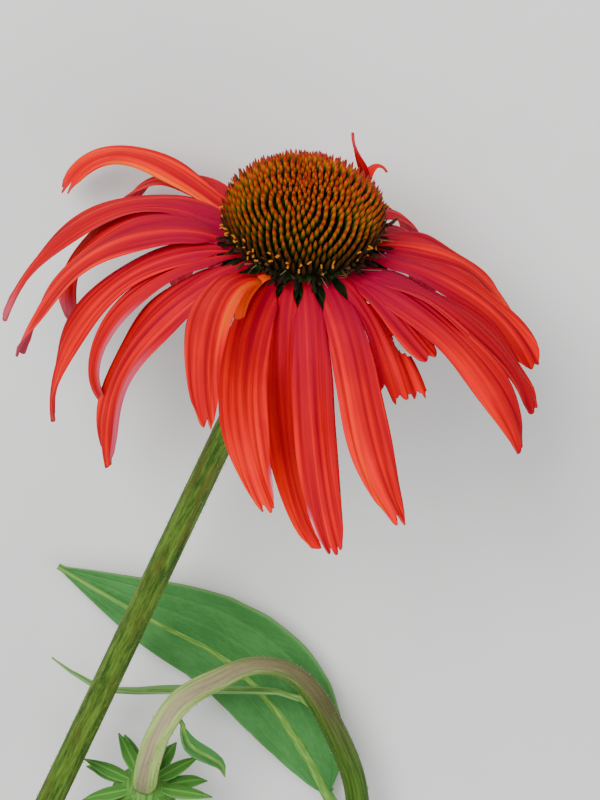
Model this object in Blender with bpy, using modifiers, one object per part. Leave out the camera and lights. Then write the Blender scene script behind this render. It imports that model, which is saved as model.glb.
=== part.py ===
"""A cut flowering stem of a coneflower, lying on a flat surface.

The bloom's drooping petals and the stem's cut end touch the surface at z = 0. The stem lies along
-Y from the bloom, and a side shoot with a nodding bud and the leaves lie beside it.
Metres, +Z up. The origin is on the surface, under the middle of the whole stem.
"""

from collections import namedtuple
from math import pi, radians

import bmesh
import bpy
import numpy as np
from mathutils import Matrix, Vector

# Place of the bloom: the middle of the cone's widest ring, and how its axis lies.
HEAD_CENTRE = Vector((0.0335, 0.1190, 0.0440))
HEAD_TILT = radians(64)
HEAD_TURN = radians(3.5)

# Cone of the bloom, measured from the widest ring along the head's axis.
CORE_RADIUS = 0.0138
CORE_HEIGHT = 0.0096
CORE_BASE = -0.0037
CORE_BASE_RADIUS = 0.0100
CORE_SIDES = 24
SPINE_COUNT = 210
SPINE_LENGTH = 0.0035
SPINE_WIDTH = 0.0016
SPINE_LEAN = 0.45
SPINE_SUNK = 0.0012
LOWEST_SPINE = radians(98)
FLORET_COUNT = 28
FLORET_ROWS = ((0.0118, -0.0012), (0.0108, -0.0026))
FLORET_LENGTH = 0.0060
FLORET_WIDTH = 0.0014
GOLDEN_ANGLE = radians(137.508)

# Ring that the petals grow from, under the cone.
RING_SIDES = 28
RING_RADIUS = 0.0114
RING_BOTTOM = -0.0056
RING_TOP = -0.0040
PETAL_ROOT_RADIUS = 0.0105
PETAL_ROOT_HEIGHT = -0.0048

# Petals.
PETAL_THICKNESS = 0.0007
PETAL_STATIONS = 10
PETAL_STRIPS = 4
PETAL_CUP = 0.16
PETAL_RIB = 0.03
PETAL_WAVE = 0.06
PETAL_NOTCH = 0.2

# Green cup behind the petals and the young bud, both from their own top down: profiles of radius and
# height, then rows of bracts (count, root radius, root height, reach outwards, drop, width).
CUP_PROFILE = (
    (0, -0.0100), (0.0032, -0.0100), (0.0062, -0.0090), (0.0084, -0.0072), (0.0086, -0.0059), (0, -0.0059)
)
CUP_BRACTS = ((10, 0.0070, -0.0075, 0.0062, 0.0070, 0.0032), (9, 0.0058, -0.0086, 0.0052, 0.0080, 0.0030))
BUD_PROFILE = (
    (0, -0.0060), (0.0022, -0.0060), (0.0040, -0.0050), (0.0060, -0.0030), (0.0068, -0.0006), (0, -0.0006)
)
BUD_BRACTS = ((9, 0.0036, -0.0050, 0.0098, -0.0010, 0.0030), (8, 0.0054, -0.0032, 0.0082, -0.0030, 0.0032))
BUTTON_RADIUS = 0.0064
BUTTON_HEIGHT = 0.0042
BUTTON_SIDES = 16
BUTTON_SPINES = 36
BUTTON_SPINE_LENGTH = 0.0030
BUTTON_SPINE_WIDTH = 0.0013
BUTTON_SPREAD = 0.92
BUTTON_FALL = 0.85
CUP_SIDES = 20
BRACT_THICKNESS = 0.0007
BRACT_FOLD = 0.25
BRACT_STATIONS = 5
BRACT_BULGE = (0.65, 0.3)

# Stems, shoot and leaves. Places are counted from the head's centre, with the height over the surface.
NECK_TOP = 0.0103
NECK_BEND = 0.0210
NECK_END = 0.0380
STEM_START = (0.0026, -0.0035, 0.0412)
STEM_LENGTH = 0.276
STEM_SLOPE = radians(8.0)
STEM_HEADING = radians(24.3)
NECK_RADIUS = 0.0024
FOOT_RADIUS = 0.0031
STEM_BEVEL = 3
SHOOT_BEVEL = 2
SWELLING = 0.0008
SHOOT_STATIONS = 34
GAP = 0.0003

SHOOT_ROUTE = (
    (-0.0680, -0.1625, 0.0195),
    (-0.0480, -0.1700, 0.0165),
    (-0.0200, -0.1670, 0.0125),
    (0.0020, -0.1560, 0.0105),
    (0.0110, -0.1430, 0.0105),
    (0.0115, -0.1290, 0.0108),
    (0.0082, -0.1168, 0.0118),
    (0.0002, -0.1018, 0.0145),
    (-0.0090, -0.0968, 0.0185),
    (-0.0182, -0.0990, 0.0222),
    (-0.0250, -0.1025, 0.0248),
    (-0.0292, -0.1085, 0.0260),
    (-0.0312, -0.1140, 0.0252),
    (-0.0322, -0.1185, 0.0228),
    (-0.0327, -0.1222, 0.0192),
)
SHOOT_RADII = (0.0024, 0.0025)
SHOOT_WAIST = (0.77, 0.06, 0.00065)
BUD_OFFSET = 0.0065

# A blade's outline: how far in its two ends stop, where it is widest and how round it is, and its waves.
BLADE_STRIPS = 2
BLADE_ENDS = (0.02, 0.985)
BLADE_WIDEST = 0.75
BLADE_ROUND = 0.9
BLADE_WAVE = 0.06
BLADE_WAVES = 2.5

# Each leaf: its midrib's route, its greatest width, how wide its left half is beside its right one, the
# way that it faces, and the radius of its stalk at the root and at the tip.
LEAF_THICKNESS = 0.0008
LEAF_FOLD = 0.22
LEAF_STATIONS = 19
Leaf = namedtuple("Leaf", "route width left upward stalk")
LEAVES = {
    "shoot_leaf": Leaf(
        (
            (0.0120, -0.1410, 0.0095),
            (0.0058, -0.1311, 0.0060),
            (-0.0004, -0.1196, 0.0045),
            (-0.0085, -0.1080, 0.0042),
            (-0.0180, -0.0992, 0.0040),
            (-0.0330, -0.0910, 0.0045),
            (-0.0512, -0.0805, 0.0028),
        ),
        0.0288,
        0.52,
        (0, 0, 1),
        (0.0016, 0.0007),
    ),
    "narrow_leaf": Leaf(
        (
            (0.0068, -0.1130, 0.0124),
            (0.0024, -0.1085, 0.0115),
            (-0.0035, -0.1056, 0.0108),
            (-0.0120, -0.1052, 0.0104),
            (-0.0280, -0.1052, 0.0104),
            (-0.0390, -0.1052, 0.0102),
            (-0.0455, -0.1028, 0.0100),
            (-0.0520, -0.0978, 0.0094),
        ),
        0.0042,
        1.0,
        (0, 1, 0),
        (0.0007, 0.0005),
    ),
    "shoot_bract": Leaf(
        (
            (-0.0262, -0.1050, 0.0255),
            (-0.0246, -0.1072, 0.0248),
            (-0.0242, -0.1098, 0.0242),
            (-0.0228, -0.1128, 0.0232),
            (-0.0192, -0.1155, 0.0218),
            (-0.0168, -0.1178, 0.0203),
            (-0.0158, -0.1212, 0.0185),
        ),
        0.0036,
        1.0,
        (0.5, 0.4, 0.8),
        (0.0006, 0.0004),
    ),
    "stem_leaf": Leaf(
        (
            (-0.0700, -0.1680, 0.0190),
            (-0.0560, -0.1850, 0.0140),
            (-0.0330, -0.2040, 0.0090),
            (-0.0050, -0.2190, 0.0065),
            (0.0230, -0.2320, 0.0040),
        ),
        0.0310,
        1.0,
        (0, 0, 1),
        (0.0016, 0.0007),
    ),
}
STALK_STATIONS = 14
STALK_DROP = 0.0004

Petal = namedtuple("Petal", "heading length width pitch side lean kept", defaults=((0, 0), (0, 0), 1.0))

# Each petal: heading round the head in degrees (0 to the right, 90 to the surface, 180 to the left),
# length and width, then its rise above the ring, its turn to the side and its roll, each as the
# values that a smooth curve from root to tip is drawn through. Of a chewed petal only a share is kept.
PETALS = (
    Petal(150, 0.055, 0.0062, (15, 10, -75), (-30, 25), (5, -45)),
    Petal(142, 0.046, 0.0080, (18, -22, -70), (-10, -10)),
    Petal(158, 0.064, 0.0090, (30, -45, -70), (20, 45), (10, 15)),
    Petal(169, 0.056, 0.0080, (30, -40, -105), (-10, 35), (0, -25)),
    Petal(180, 0.061, 0.0100, (40, -60, -75), (10, 0), (-10, 25)),
    Petal(191, 0.063, 0.0088, (20, -60, -95), (5, 5), (0, 5)),
    Petal(201, 0.054, 0.0045, (10, -30, -130), (0, 15), (5, -20)),
    Petal(214, 0.060, 0.0100, (5, -70, -100), (-20, -10), (-5, 0)),
    Petal(236, 0.054, 0.0078, (45, 0, -35), (20, 50), (10, -40)),
    Petal(243, 0.017, 0.0026, (40, 0, -60), (-25, 40)),
    Petal(247, 0.054, 0.0090, (5, -30, -30), (20, 55), (5, -15)),
    Petal(261, 0.055, 0.0076, (5, -100, -30), (15, 55), (5, -25)),
    Petal(277, 0.056, 0.0078, (-5, -45, -40), (-10, 20), (0, 15)),
    Petal(294, 0.057, 0.0084, (5, -40, -10), (-25, 5), (5, -10)),
    Petal(312, 0.050, 0.0072, (0, -65, -25), (-18, -21), (-60, 60), 0.56),
    Petal(317, 0.048, 0.0060, (12, -42, -7), (-23, 30), (-20, 37), 0.56),
    Petal(322, 0.053, 0.0088, (10, -15, -75), (0, 10), (0, 5)),
    Petal(333, 0.049, 0.0092, (10, -20, -70), (5, 5), (-45, 10)),
    Petal(350, 0.045, 0.0080, (10, -30, -65), (0, 0), (-20, 50)),
    Petal(367, 0.044, 0.0105, (15, -50, -65), (10, 10)),
    Petal(383, 0.046, 0.0085, (5, -65, -95), (0, 5)),
    Petal(398, 0.022, 0.0020, (-23, 96, -69), (103, -24)),
    Petal(406, 0.0595, 0.0085, (5, -80, -110), (0, -5)),
    Petal(411, 0.0245, 0.0034, (-50, 170, 92), (10, -46)),
    Petal(432, 0.050, 0.0085, (5, -95, -110), (0, -5)),
    Petal(447, 0.048, 0.0085, (0, -100, -115), (0, 5)),
    Petal(462, 0.047, 0.0085, (5, -105, -110), (0, -5)),
    Petal(477, 0.055, 0.0085, (5, -85, -115), (0, 5)),
    Petal(490, 0.050, 0.0080, (5, -65, -105), (5, 5)),
)


def blend(start, middle, end, along):
    """The smooth curve that leaves start, is drawn towards middle and reaches end."""
    return (1 - along) ** 2 * start + 2 * along * (1 - along) * middle + along**2 * end


def ease(low, high, value):
    """0 below low, 1 above high, and a smooth step between them."""
    part = np.clip((value - low) / (high - low), 0, 1)
    return part * part * (3 - 2 * part)


def unit(vectors):
    return vectors / np.linalg.norm(vectors, axis=-1, keepdims=True)


def clear_scene():
    for item in list(bpy.data.objects):
        bpy.data.objects.remove(item)


def collection(name):
    made = bpy.data.collections.new(name)
    bpy.context.scene.collection.children.link(made)
    return made


def material(name, colour, roughness, metallic=0.0):
    made = bpy.data.materials.new(name)
    made.use_nodes = True
    shader = made.node_tree.nodes["Principled BSDF"]
    shader.inputs["Base Color"].default_value = (*colour, 1)
    shader.inputs["Roughness"].default_value = roughness
    shader.inputs["Metallic"].default_value = metallic
    return made


def mesh_object(name, mesh, into, parent=None):
    made = bpy.data.objects.new(name, mesh)
    made.parent = parent
    into.objects.link(made)
    return made


def evaluated_mesh(item):
    bpy.context.view_layer.update()
    graph = bpy.context.evaluated_depsgraph_get()
    return bpy.data.meshes.new_from_object(item.evaluated_get(graph))


def apply_modifiers(item):
    mesh = evaluated_mesh(item)
    item.modifiers.clear()
    item.data = mesh
    return item


def keep_largest(item):
    """Keeps the outer surface: the walls of hollows that fusing sealed, and loose scraps, are removed."""
    shape = bmesh.new()
    shape.from_mesh(item.data)
    unseen, pieces = set(shape.faces), []
    while unseen:
        piece, waiting = [], [unseen.pop()]
        while waiting:
            face = waiting.pop()
            piece.append(face)
            near = {other for edge in face.edges for other in edge.link_faces} & unseen
            unseen -= near
            waiting.extend(near)
        pieces.append(piece)
    pieces.sort(key=len)
    for piece in pieces[:-1]:
        bmesh.ops.delete(shape, geom=piece, context="FACES")
    shape.to_mesh(item.data)
    shape.free()
    return item


def fuse(body, pieces, solver="MANIFOLD"):
    """One solid of the body and every object of the collection, whose objects are then removed."""
    union = body.modifiers.new("fuse", "BOOLEAN")
    union.operation = "UNION"
    union.operand_type = "COLLECTION"
    union.collection = pieces
    union.solver = solver
    apply_modifiers(body)
    for item in list(pieces.objects):
        bpy.data.objects.remove(item)
    bpy.data.collections.remove(pieces)
    return keep_largest(body)


def cut_away(item, cutter, solver="MANIFOLD"):
    cut = item.modifiers.new("cut", "BOOLEAN")
    cut.operation = "DIFFERENCE"
    cut.object = cutter
    cut.solver = solver
    return item


def sheet(name, points, thickness, into, parent=None):
    """A thin solid from a grid of points (stations, sides, 3), split into triangles alike on both faces."""
    rows, columns = points.shape[:2]
    corner = np.arange(rows * columns).reshape(rows, columns)
    low, right = corner[:-1, :-1].ravel(), corner[:-1, 1:].ravel()
    up, far = corner[1:, :-1].ravel(), corner[1:, 1:].ravel()
    faces = np.concatenate([np.stack([low, right, far], 1), np.stack([low, far, up], 1)])
    mesh = bpy.data.meshes.new(name)
    mesh.from_pydata(points.reshape(-1, 3).tolist(), [], faces.tolist())
    made = mesh_object(name, mesh, into, parent)
    wall = made.modifiers.new("thickness", "SOLIDIFY")
    wall.thickness = thickness
    wall.offset = 0
    return apply_modifiers(made)


def turned(name, profile, sides, into, parent=None):
    """A profile of (radius, height) pairs, bottom to top on the axis, turned round Z."""
    mesh = bpy.data.meshes.new(name)
    points = [(radius, 0, height) for radius, height in profile]
    mesh.from_pydata(points, [(i, i + 1) for i in range(len(points) - 1)], [])
    made = mesh_object(name, mesh, into, parent)
    screw = made.modifiers.new("turn", "SCREW")
    screw.steps = sides
    screw.render_steps = sides
    screw.use_merge_vertices = True
    screw.merge_threshold = 0.0001
    screw.use_normal_calculate = True
    apply_modifiers(made)
    shape = bmesh.new()
    shape.from_mesh(made.data)
    bmesh.ops.remove_doubles(shape, verts=shape.verts, dist=0.00001)
    bmesh.ops.recalc_face_normals(shape, faces=shape.faces)
    shape.to_mesh(made.data)
    shape.free()
    return made


def smooth_route(points, count):
    """Evenly spaced points on the smooth curve through the given ones."""
    points = np.array(points, float)
    padded = np.vstack([2 * points[0] - points[1], points, 2 * points[-1] - points[-2]])
    steps = np.linspace(0, 1, 12, endpoint=False)[:, None]
    runs = []
    for before, start, end, after in zip(padded, padded[1:], padded[2:], padded[3:]):
        runs.append(
            0.5 * (2 * start + (end - before) * steps
                   + (2 * before - 5 * start + 4 * end - after) * steps**2
                   + (3 * start - before - 3 * end + after) * steps**3)
        )
    fine = np.vstack(runs + [points[-1:]])
    reach = np.concatenate([[0], np.cumsum(np.linalg.norm(np.diff(fine, axis=0), axis=1))])
    wanted = np.linspace(0, reach[-1], count)
    return np.stack([np.interp(wanted, reach, fine[:, axis]) for axis in range(3)], 1)


def tube(name, route, radii, into, bevel):
    """A closed round tube along the route, with its own radius at each point."""
    curve = bpy.data.curves.new(name, "CURVE")
    curve.dimensions = "3D"
    curve.bevel_depth = 1.0
    curve.bevel_resolution = bevel
    curve.use_fill_caps = True
    spline = curve.splines.new("POLY")
    spline.points.add(len(route) - 1)
    spline.points.foreach_set("co", np.column_stack([route, np.ones(len(route))]).ravel())
    spline.points.foreach_set("radius", np.asarray(radii, float))
    guide = bpy.data.objects.new(name + "_curve", curve)
    into.objects.link(guide)
    mesh = evaluated_mesh(guide)
    bpy.data.objects.remove(guide)
    shape = bmesh.new()
    shape.from_mesh(mesh)
    bmesh.ops.remove_doubles(shape, verts=shape.verts, dist=0.00001)
    bmesh.ops.recalc_face_normals(shape, faces=shape.faces)
    shape.to_mesh(mesh)
    shape.free()
    return mesh_object(name, mesh, into)


def from_head(places):
    """World places from places counted from the head's centre, with heights over the surface."""
    return np.array(places, float) + np.array((HEAD_CENTRE.x, HEAD_CENTRE.y, 0))


def head_axis():
    tilted = Matrix.Rotation(-HEAD_TILT, 3, "X") @ Vector((0, 0, 1))
    return np.array(Matrix.Rotation(-HEAD_TURN, 3, "Z") @ tilted)


def petal_half_width(along):
    """A narrow claw at the root, the full width by the middle and a narrower tip, as parts of 1."""
    claw = 0.25 + 0.5 * ease(0.06, 0.18, along) + 0.25 * ease(0.15, 0.45, along)
    narrowing = np.clip((along - 0.6) / 0.4, 0, 1)
    return claw * (1 - 0.55 * narrowing**2)


def petal_points(petal, number):
    """The grid of a petal's middle surface, in the head's frame: its direction is summed from root to tip."""
    along = np.linspace(0, petal.kept, PETAL_STATIONS)
    across = np.linspace(-1, 1, PETAL_STRIPS + 1)
    pitch = np.radians(blend(*petal.pitch, along) * ease(-0.02, 0.12, along))
    heading = np.radians(petal.heading + blend(0, *petal.side, along))
    roll = np.radians(blend(0, *petal.lean, along))[:, None]
    flat = np.stack([np.cos(heading), np.sin(heading), np.zeros_like(along)], 1)
    ahead = np.cos(pitch)[:, None] * flat + np.sin(pitch)[:, None] * np.array((0, 0, 1))
    root = np.radians(petal.heading)
    centre = np.zeros((PETAL_STATIONS, 3))
    step = petal.length * petal.kept / (PETAL_STATIONS - 1)
    centre[1:] = np.cumsum((ahead[1:] + ahead[:-1]) / 2, 0) * step
    centre += (PETAL_ROOT_RADIUS * np.cos(root), PETAL_ROOT_RADIUS * np.sin(root), PETAL_ROOT_HEIGHT)
    level = np.stack([-np.sin(heading), np.cos(heading), np.zeros_like(along)], 1)
    above = np.cross(ahead, level)
    side = np.cos(roll) * level + np.sin(roll) * above
    face = np.cross(ahead, side)
    half = (petal.width / 2 * petal_half_width(along))[:, None]
    grown = ease(0.1, 0.4, along)[:, None]
    lift = -PETAL_CUP * half * across**2
    ripple = PETAL_WAVE * across * np.sin(2 * pi * (2 * along[:, None] + 0.3 * number))
    lift = lift + petal.width * grown * (PETAL_RIB * np.cos(2 * pi * across) + ripple)
    reach = np.zeros_like(half * across)
    reach[-1] = -petal.width * PETAL_NOTCH * ((np.abs(across) > 0.8) + 0.6 * (np.abs(across) < 0.2))
    return (
        centre[:, None]
        + side[:, None] * (half * across)[..., None]
        + face[:, None] * lift[..., None]
        + ahead[:, None] * reach[..., None]
    )


def make_ray_petals(parts, head, below):
    """All the petals, rooted in the ring under the cone, with flat spots where they meet the surface."""
    ring = ((0, RING_BOTTOM), (RING_RADIUS, RING_BOTTOM), (RING_RADIUS, RING_TOP), (0, RING_TOP))
    body = turned("ray_petals", ring, RING_SIDES, parts, head)
    pieces = collection("loose_petals")
    for number, petal in enumerate(PETALS):
        sheet(f"petal_{number}", petal_points(petal, number), PETAL_THICKNESS, pieces, head)
    fuse(body, pieces)
    return keep_largest(apply_modifiers(cut_away(body, below)))


def dome_place(angle_from_top):
    """Radius and height of the cone's core at an angle from its top."""
    return CORE_RADIUS * np.sin(angle_from_top), CORE_HEIGHT * np.cos(angle_from_top)


def spike(name, root, direction, length, width, into, parent):
    """A slim pointed solid of three sides from root along direction, sunk a little behind its root."""
    shape = bmesh.new()
    bmesh.ops.create_cone(shape, cap_ends=True, segments=3, radius1=width / 2, radius2=0, depth=length)
    bmesh.ops.translate(shape, verts=shape.verts, vec=(0, 0, length / 2 - SPINE_SUNK))
    mesh = bpy.data.meshes.new(name)
    shape.to_mesh(mesh)
    shape.free()
    made = mesh_object(name, mesh, into, parent)
    made.rotation_euler = Vector(direction).to_track_quat("Z", "Y").to_euler()
    made.location = root
    return made


def make_cone(parts, head):
    """The domed disc with its spines in crossing spirals and the old florets round its foot."""
    low = [(0, CORE_BASE), (CORE_BASE_RADIUS, CORE_BASE)]
    dome = [dome_place(angle) for angle in np.radians((100, 86, 72, 58, 44, 30, 15, 0))]
    core = turned("cone", low + dome, CORE_SIDES, parts, head)
    pieces = collection("loose_spines")
    for number in range(SPINE_COUNT):
        share = (number + 0.5) / SPINE_COUNT
        angle = np.arccos(1 - share * (1 - np.cos(LOWEST_SPINE)))
        radius, height = dome_place(angle)
        turn = number * GOLDEN_ANGLE
        outward = np.array((np.cos(turn), np.sin(turn), 0))
        root = outward * radius + (0, 0, height)
        normal = unit(outward * np.sin(angle) / CORE_RADIUS + np.array((0, 0, np.cos(angle) / CORE_HEIGHT)))
        direction = unit(normal + (0, 0, SPINE_LEAN))
        length = SPINE_LENGTH + SPINE_SUNK
        spike(f"spine_{number}", root, direction, length, SPINE_WIDTH, pieces, head)
    for row, (radius, height) in enumerate(FLORET_ROWS):
        for number in range(FLORET_COUNT):
            turn = 2 * pi * (number + 0.5 * row) / FLORET_COUNT
            outward = np.array((np.cos(turn), np.sin(turn), 0))
            root = outward * radius + (0, 0, height)
            spike(f"floret_{row}_{number}", root, outward, FLORET_LENGTH, FLORET_WIDTH, pieces, head)
    return fuse(core, pieces)


def blade_points(route, width, left, fold, upward, stations):
    """The grid of a lance-shaped leaf along a route: widest before the middle, folded along its midrib."""
    centre = smooth_route(route, stations)
    along = np.linspace(0, 1, stations)
    across = np.linspace(-1, 1, BLADE_STRIPS + 1)
    ahead = unit(np.gradient(centre, axis=0))
    side = unit(np.cross(ahead, np.array(upward, float)))
    face = np.cross(side, ahead)
    outline = np.sin(pi * np.clip(along, *BLADE_ENDS) ** BLADE_WIDEST) ** BLADE_ROUND
    half = width / 2 * outline[:, None] * np.where(across < 0, left, 1)
    wave = BLADE_WAVE * np.sin(2 * pi * BLADE_WAVES * along)[:, None]
    lift = fold * half * np.abs(across) + wave * half * across
    return centre[:, None] + side[:, None] * (half * across)[..., None] + face[:, None] * lift[..., None]


def make_bracts(name, profile, rows, parts, frame):
    """A green cup turned round its axis, fused with rows of narrow curved bracts."""
    body = turned(name, profile, CUP_SIDES, parts, frame)
    pieces = collection("loose_bracts")
    for row, (count, radius, height, reach, drop, width) in enumerate(rows):
        for number in range(count):
            turn = 2 * pi * (number + 0.5 * row) / count
            outward = np.array((np.cos(turn), np.sin(turn), 0))
            root = outward * radius + (0, 0, height)
            middle = root + outward * BRACT_BULGE[0] * reach + (0, 0, -BRACT_BULGE[1] * drop)
            tip = root + outward * reach + (0, 0, -drop)
            upward = outward + (0, 0, 0.6)
            points = blade_points((root, middle, tip), width, 1, BRACT_FOLD, upward, BRACT_STATIONS)
            sheet(f"bract_{row}_{number}", points, BRACT_THICKNESS, pieces, frame)
    return fuse(body, pieces)


def make_bud_button(parts, frame):
    """The young disc of the bud, a low dome of short points."""
    angles = np.radians((90, 65, 40, 20, 0))
    dome = [(BUTTON_RADIUS * np.sin(angle), BUTTON_HEIGHT * np.cos(angle)) for angle in angles]
    body = turned("bud_button", [(0, -GAP), (BUTTON_RADIUS, -GAP)] + dome[1:], BUTTON_SIDES, parts, frame)
    pieces = collection("loose_points")
    for number in range(BUTTON_SPINES):
        share = (number + 0.5) / BUTTON_SPINES
        turn = number * GOLDEN_ANGLE
        radius = BUTTON_SPREAD * BUTTON_RADIUS * np.sqrt(share)
        height = BUTTON_HEIGHT * np.sqrt(1 - BUTTON_FALL * share)
        outward = np.array((np.cos(turn), np.sin(turn), 0))
        root = outward * radius + (0, 0, height)
        direction = unit(outward * share + (0, 0, 1))
        spike(f"point_{number}", root, direction, BUTTON_SPINE_LENGTH, BUTTON_SPINE_WIDTH, pieces, frame)
    return fuse(body, pieces)


def stem_route():
    """The neck that curves away from the head, and the straight stem down to its cut end."""
    centre, axis = np.array(HEAD_CENTRE), head_axis()
    run = np.array((
        -np.sin(STEM_HEADING) * np.cos(STEM_SLOPE),
        -np.cos(STEM_HEADING) * np.cos(STEM_SLOPE),
        -np.sin(STEM_SLOPE),
    ))
    start = from_head(STEM_START)
    share = np.linspace(0, 1, 12)[:, None] ** 1.5
    neck = blend(centre - axis * NECK_TOP, centre - axis * NECK_BEND, start + run * NECK_END, share)
    reach = np.linspace(NECK_END, STEM_LENGTH, 8)[1:, None]
    return np.vstack([neck, start + run * reach])


def stem_radii(first, last, count, swollen):
    """Radii that change evenly from first to last, with a swelling over the first part of the length."""
    share = np.linspace(0, 1, count)
    return first + (last - first) * share + SWELLING * np.exp(-((share / swollen) ** 2))


def make_main_stem(parts, below, route, extra=0.0, name="main_stem"):
    """The round stem with its cut end flat on the surface, or with extra radius the room it needs."""
    radii = stem_radii(NECK_RADIUS, FOOT_RADIUS, len(route), 0.03) + extra
    return apply_modifiers(cut_away(tube(name, route, radii, parts, STEM_BEVEL), below))


def shoot_route():
    return smooth_route(from_head(SHOOT_ROUTE), SHOOT_STATIONS)


def make_side_shoot(parts, stem_space, route, extra=0.0, name="side_shoot"):
    """The arching shoot, thinner at the top of its arch, cut clear of the main stem that it grows from."""
    place, spread, depth = SHOOT_WAIST
    share = np.linspace(0, 1, len(route))
    waist = depth * np.exp(-(((share - place) / spread) ** 2))
    radii = stem_radii(*SHOOT_RADII, len(route), 0.05) - waist + extra
    return apply_modifiers(cut_away(tube(name, route, radii, parts, SHOOT_BEVEL), stem_space))


def make_leaf(name, parts, space):
    """A blade fused with the stalk that runs on as its midrib, cut clear of the stem that it grows from."""
    leaf = LEAVES[name]
    midrib = smooth_route(from_head(leaf.route), STALK_STATIONS)
    radii = np.linspace(*leaf.stalk, len(midrib))
    body = tube(name, midrib[:-1] - (0, 0, STALK_DROP), radii[:-1], parts, 1)
    pieces = collection("loose_blade")
    points = blade_points(midrib[2:], leaf.width, leaf.left, LEAF_FOLD, leaf.upward, LEAF_STATIONS)
    sheet("blade", points, LEAF_THICKNESS, pieces)
    fuse(body, pieces)
    return apply_modifiers(cut_away(body, space))


def bud_frame(parts, route):
    """An empty at the shoot's end that looks the way the shoot runs out."""
    ahead = Vector(route[-1] - route[-2]).normalized()
    frame = bpy.data.objects.new("bud_frame", None)
    parts.objects.link(frame)
    frame.location = Vector(route[-1]) + ahead * BUD_OFFSET
    frame.rotation_euler = ahead.to_track_quat("Z", "Y").to_euler()
    return frame


def main():
    clear_scene()
    parts = collection("coneflower_stem")
    cutters = collection("cutters")
    head = bpy.data.objects.new("head", None)
    parts.objects.link(head)
    head.location = HEAD_CENTRE
    head.rotation_euler = (-HEAD_TILT, 0, -HEAD_TURN)

    shape = bmesh.new()
    bmesh.ops.create_cube(shape, size=1)
    bmesh.ops.translate(shape, verts=shape.verts, vec=(0, 0, -0.5))
    mesh = bpy.data.meshes.new("below_surface")
    shape.to_mesh(mesh)
    shape.free()
    below = mesh_object("below_surface", mesh, cutters)

    stem_line, shoot_line = stem_route(), shoot_route()
    stem_space = make_main_stem(cutters, below, stem_line, GAP, "stem_space")
    shoot_space = make_side_shoot(cutters, stem_space, shoot_line, GAP, "shoot_space")
    main_stem = make_main_stem(parts, below, stem_line)
    ray_petals = make_ray_petals(parts, head, below)
    cone = make_cone(parts, head)
    involucre = make_bracts("involucre", CUP_PROFILE, CUP_BRACTS, parts, head)
    side_shoot = make_side_shoot(parts, stem_space, shoot_line)
    frame = bud_frame(parts, shoot_line)
    bud_bracts = make_bracts("bud_bracts", BUD_PROFILE, BUD_BRACTS, parts, frame)
    bud_button = make_bud_button(parts, frame)
    shoot_leaf = make_leaf("shoot_leaf", parts, shoot_space)
    narrow_leaf = make_leaf("narrow_leaf", parts, shoot_space)
    shoot_bract = make_leaf("shoot_bract", parts, shoot_space)
    stem_leaf = make_leaf("stem_leaf", parts, stem_space)
    for cutter in (below, stem_space, shoot_space):
        cutter.hide_render = True
        cutter.display_type = "WIRE"

    looks = (
        (ray_petals, material("petal_red", (0.72, 0.05, 0.03), 0.5)),
        (cone, material("cone_green_orange", (0.35, 0.12, 0.02), 0.6)),
        (involucre, material("bract_green", (0.12, 0.24, 0.05), 0.6)),
        (main_stem, material("stem_green", (0.14, 0.25, 0.06), 0.6)),
        (side_shoot, material("shoot_green", (0.25, 0.32, 0.15), 0.6)),
        (bud_bracts, material("bud_green", (0.15, 0.32, 0.08), 0.6)),
        (bud_button, material("button_green", (0.30, 0.42, 0.12), 0.6)),
        (shoot_leaf, material("leaf_green", (0.06, 0.20, 0.05), 0.55)),
        (narrow_leaf, material("narrow_leaf_green", (0.12, 0.30, 0.10), 0.55)),
        (shoot_bract, material("shoot_bract_green", (0.04, 0.16, 0.04), 0.55)),
        (stem_leaf, material("lower_leaf_green", (0.06, 0.20, 0.05), 0.55)),
    )
    for item, look in looks:
        item.data.materials.append(look)
        item.data.shade_smooth()
        item.data.set_sharp_from_angle(angle=radians(40))


main()
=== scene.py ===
"""Looks of a cut coneflower stem that lies on a pale floor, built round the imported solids.

Metres, +Z up, the bloom towards +Y and the cut end of the stem towards -Y. Every piece is a surface
worked out from the same values as the solids, with the finer relief of the real plant.
"""

from collections import namedtuple
from math import pi, radians

import bmesh
import bpy
import numpy as np
from bpy.props import FloatProperty, FloatVectorProperty, IntProperty, PointerProperty
from mathutils import Matrix, Vector


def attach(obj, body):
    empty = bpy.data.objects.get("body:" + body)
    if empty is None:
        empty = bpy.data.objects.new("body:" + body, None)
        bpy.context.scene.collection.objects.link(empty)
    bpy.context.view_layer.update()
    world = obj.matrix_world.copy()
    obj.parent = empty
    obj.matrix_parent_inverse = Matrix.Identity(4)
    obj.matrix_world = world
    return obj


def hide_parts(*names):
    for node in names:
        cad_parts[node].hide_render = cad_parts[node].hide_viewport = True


bl_info = {
    "name": "Coneflower stem",
    "version": (1, 0, 0),
    "blender": (4, 5, 0),
    "location": "View3D > Sidebar > Coneflower",
    "description": "Builds a cut coneflower stem: bloom, stem, side shoot, bud and leaves",
    "category": "Add Mesh",
}

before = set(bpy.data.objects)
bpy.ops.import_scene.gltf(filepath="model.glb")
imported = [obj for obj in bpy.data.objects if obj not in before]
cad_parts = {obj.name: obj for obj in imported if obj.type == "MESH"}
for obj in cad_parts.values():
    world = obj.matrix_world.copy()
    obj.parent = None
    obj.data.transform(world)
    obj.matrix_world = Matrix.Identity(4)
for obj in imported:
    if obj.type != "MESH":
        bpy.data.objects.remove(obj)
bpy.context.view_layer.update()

UP = np.array((0.0, 0.0, 1.0))
GOLDEN_ANGLE = radians(137.508)
WELD_REACH = 1e-6

# Place of the bloom: the middle of the cone's widest ring, and how its axis lies.
HEAD_CENTRE = np.array((0.0335, 0.1190, 0.0440))
HEAD_TILT = radians(64)
HEAD_TURN = radians(3.5)

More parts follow.
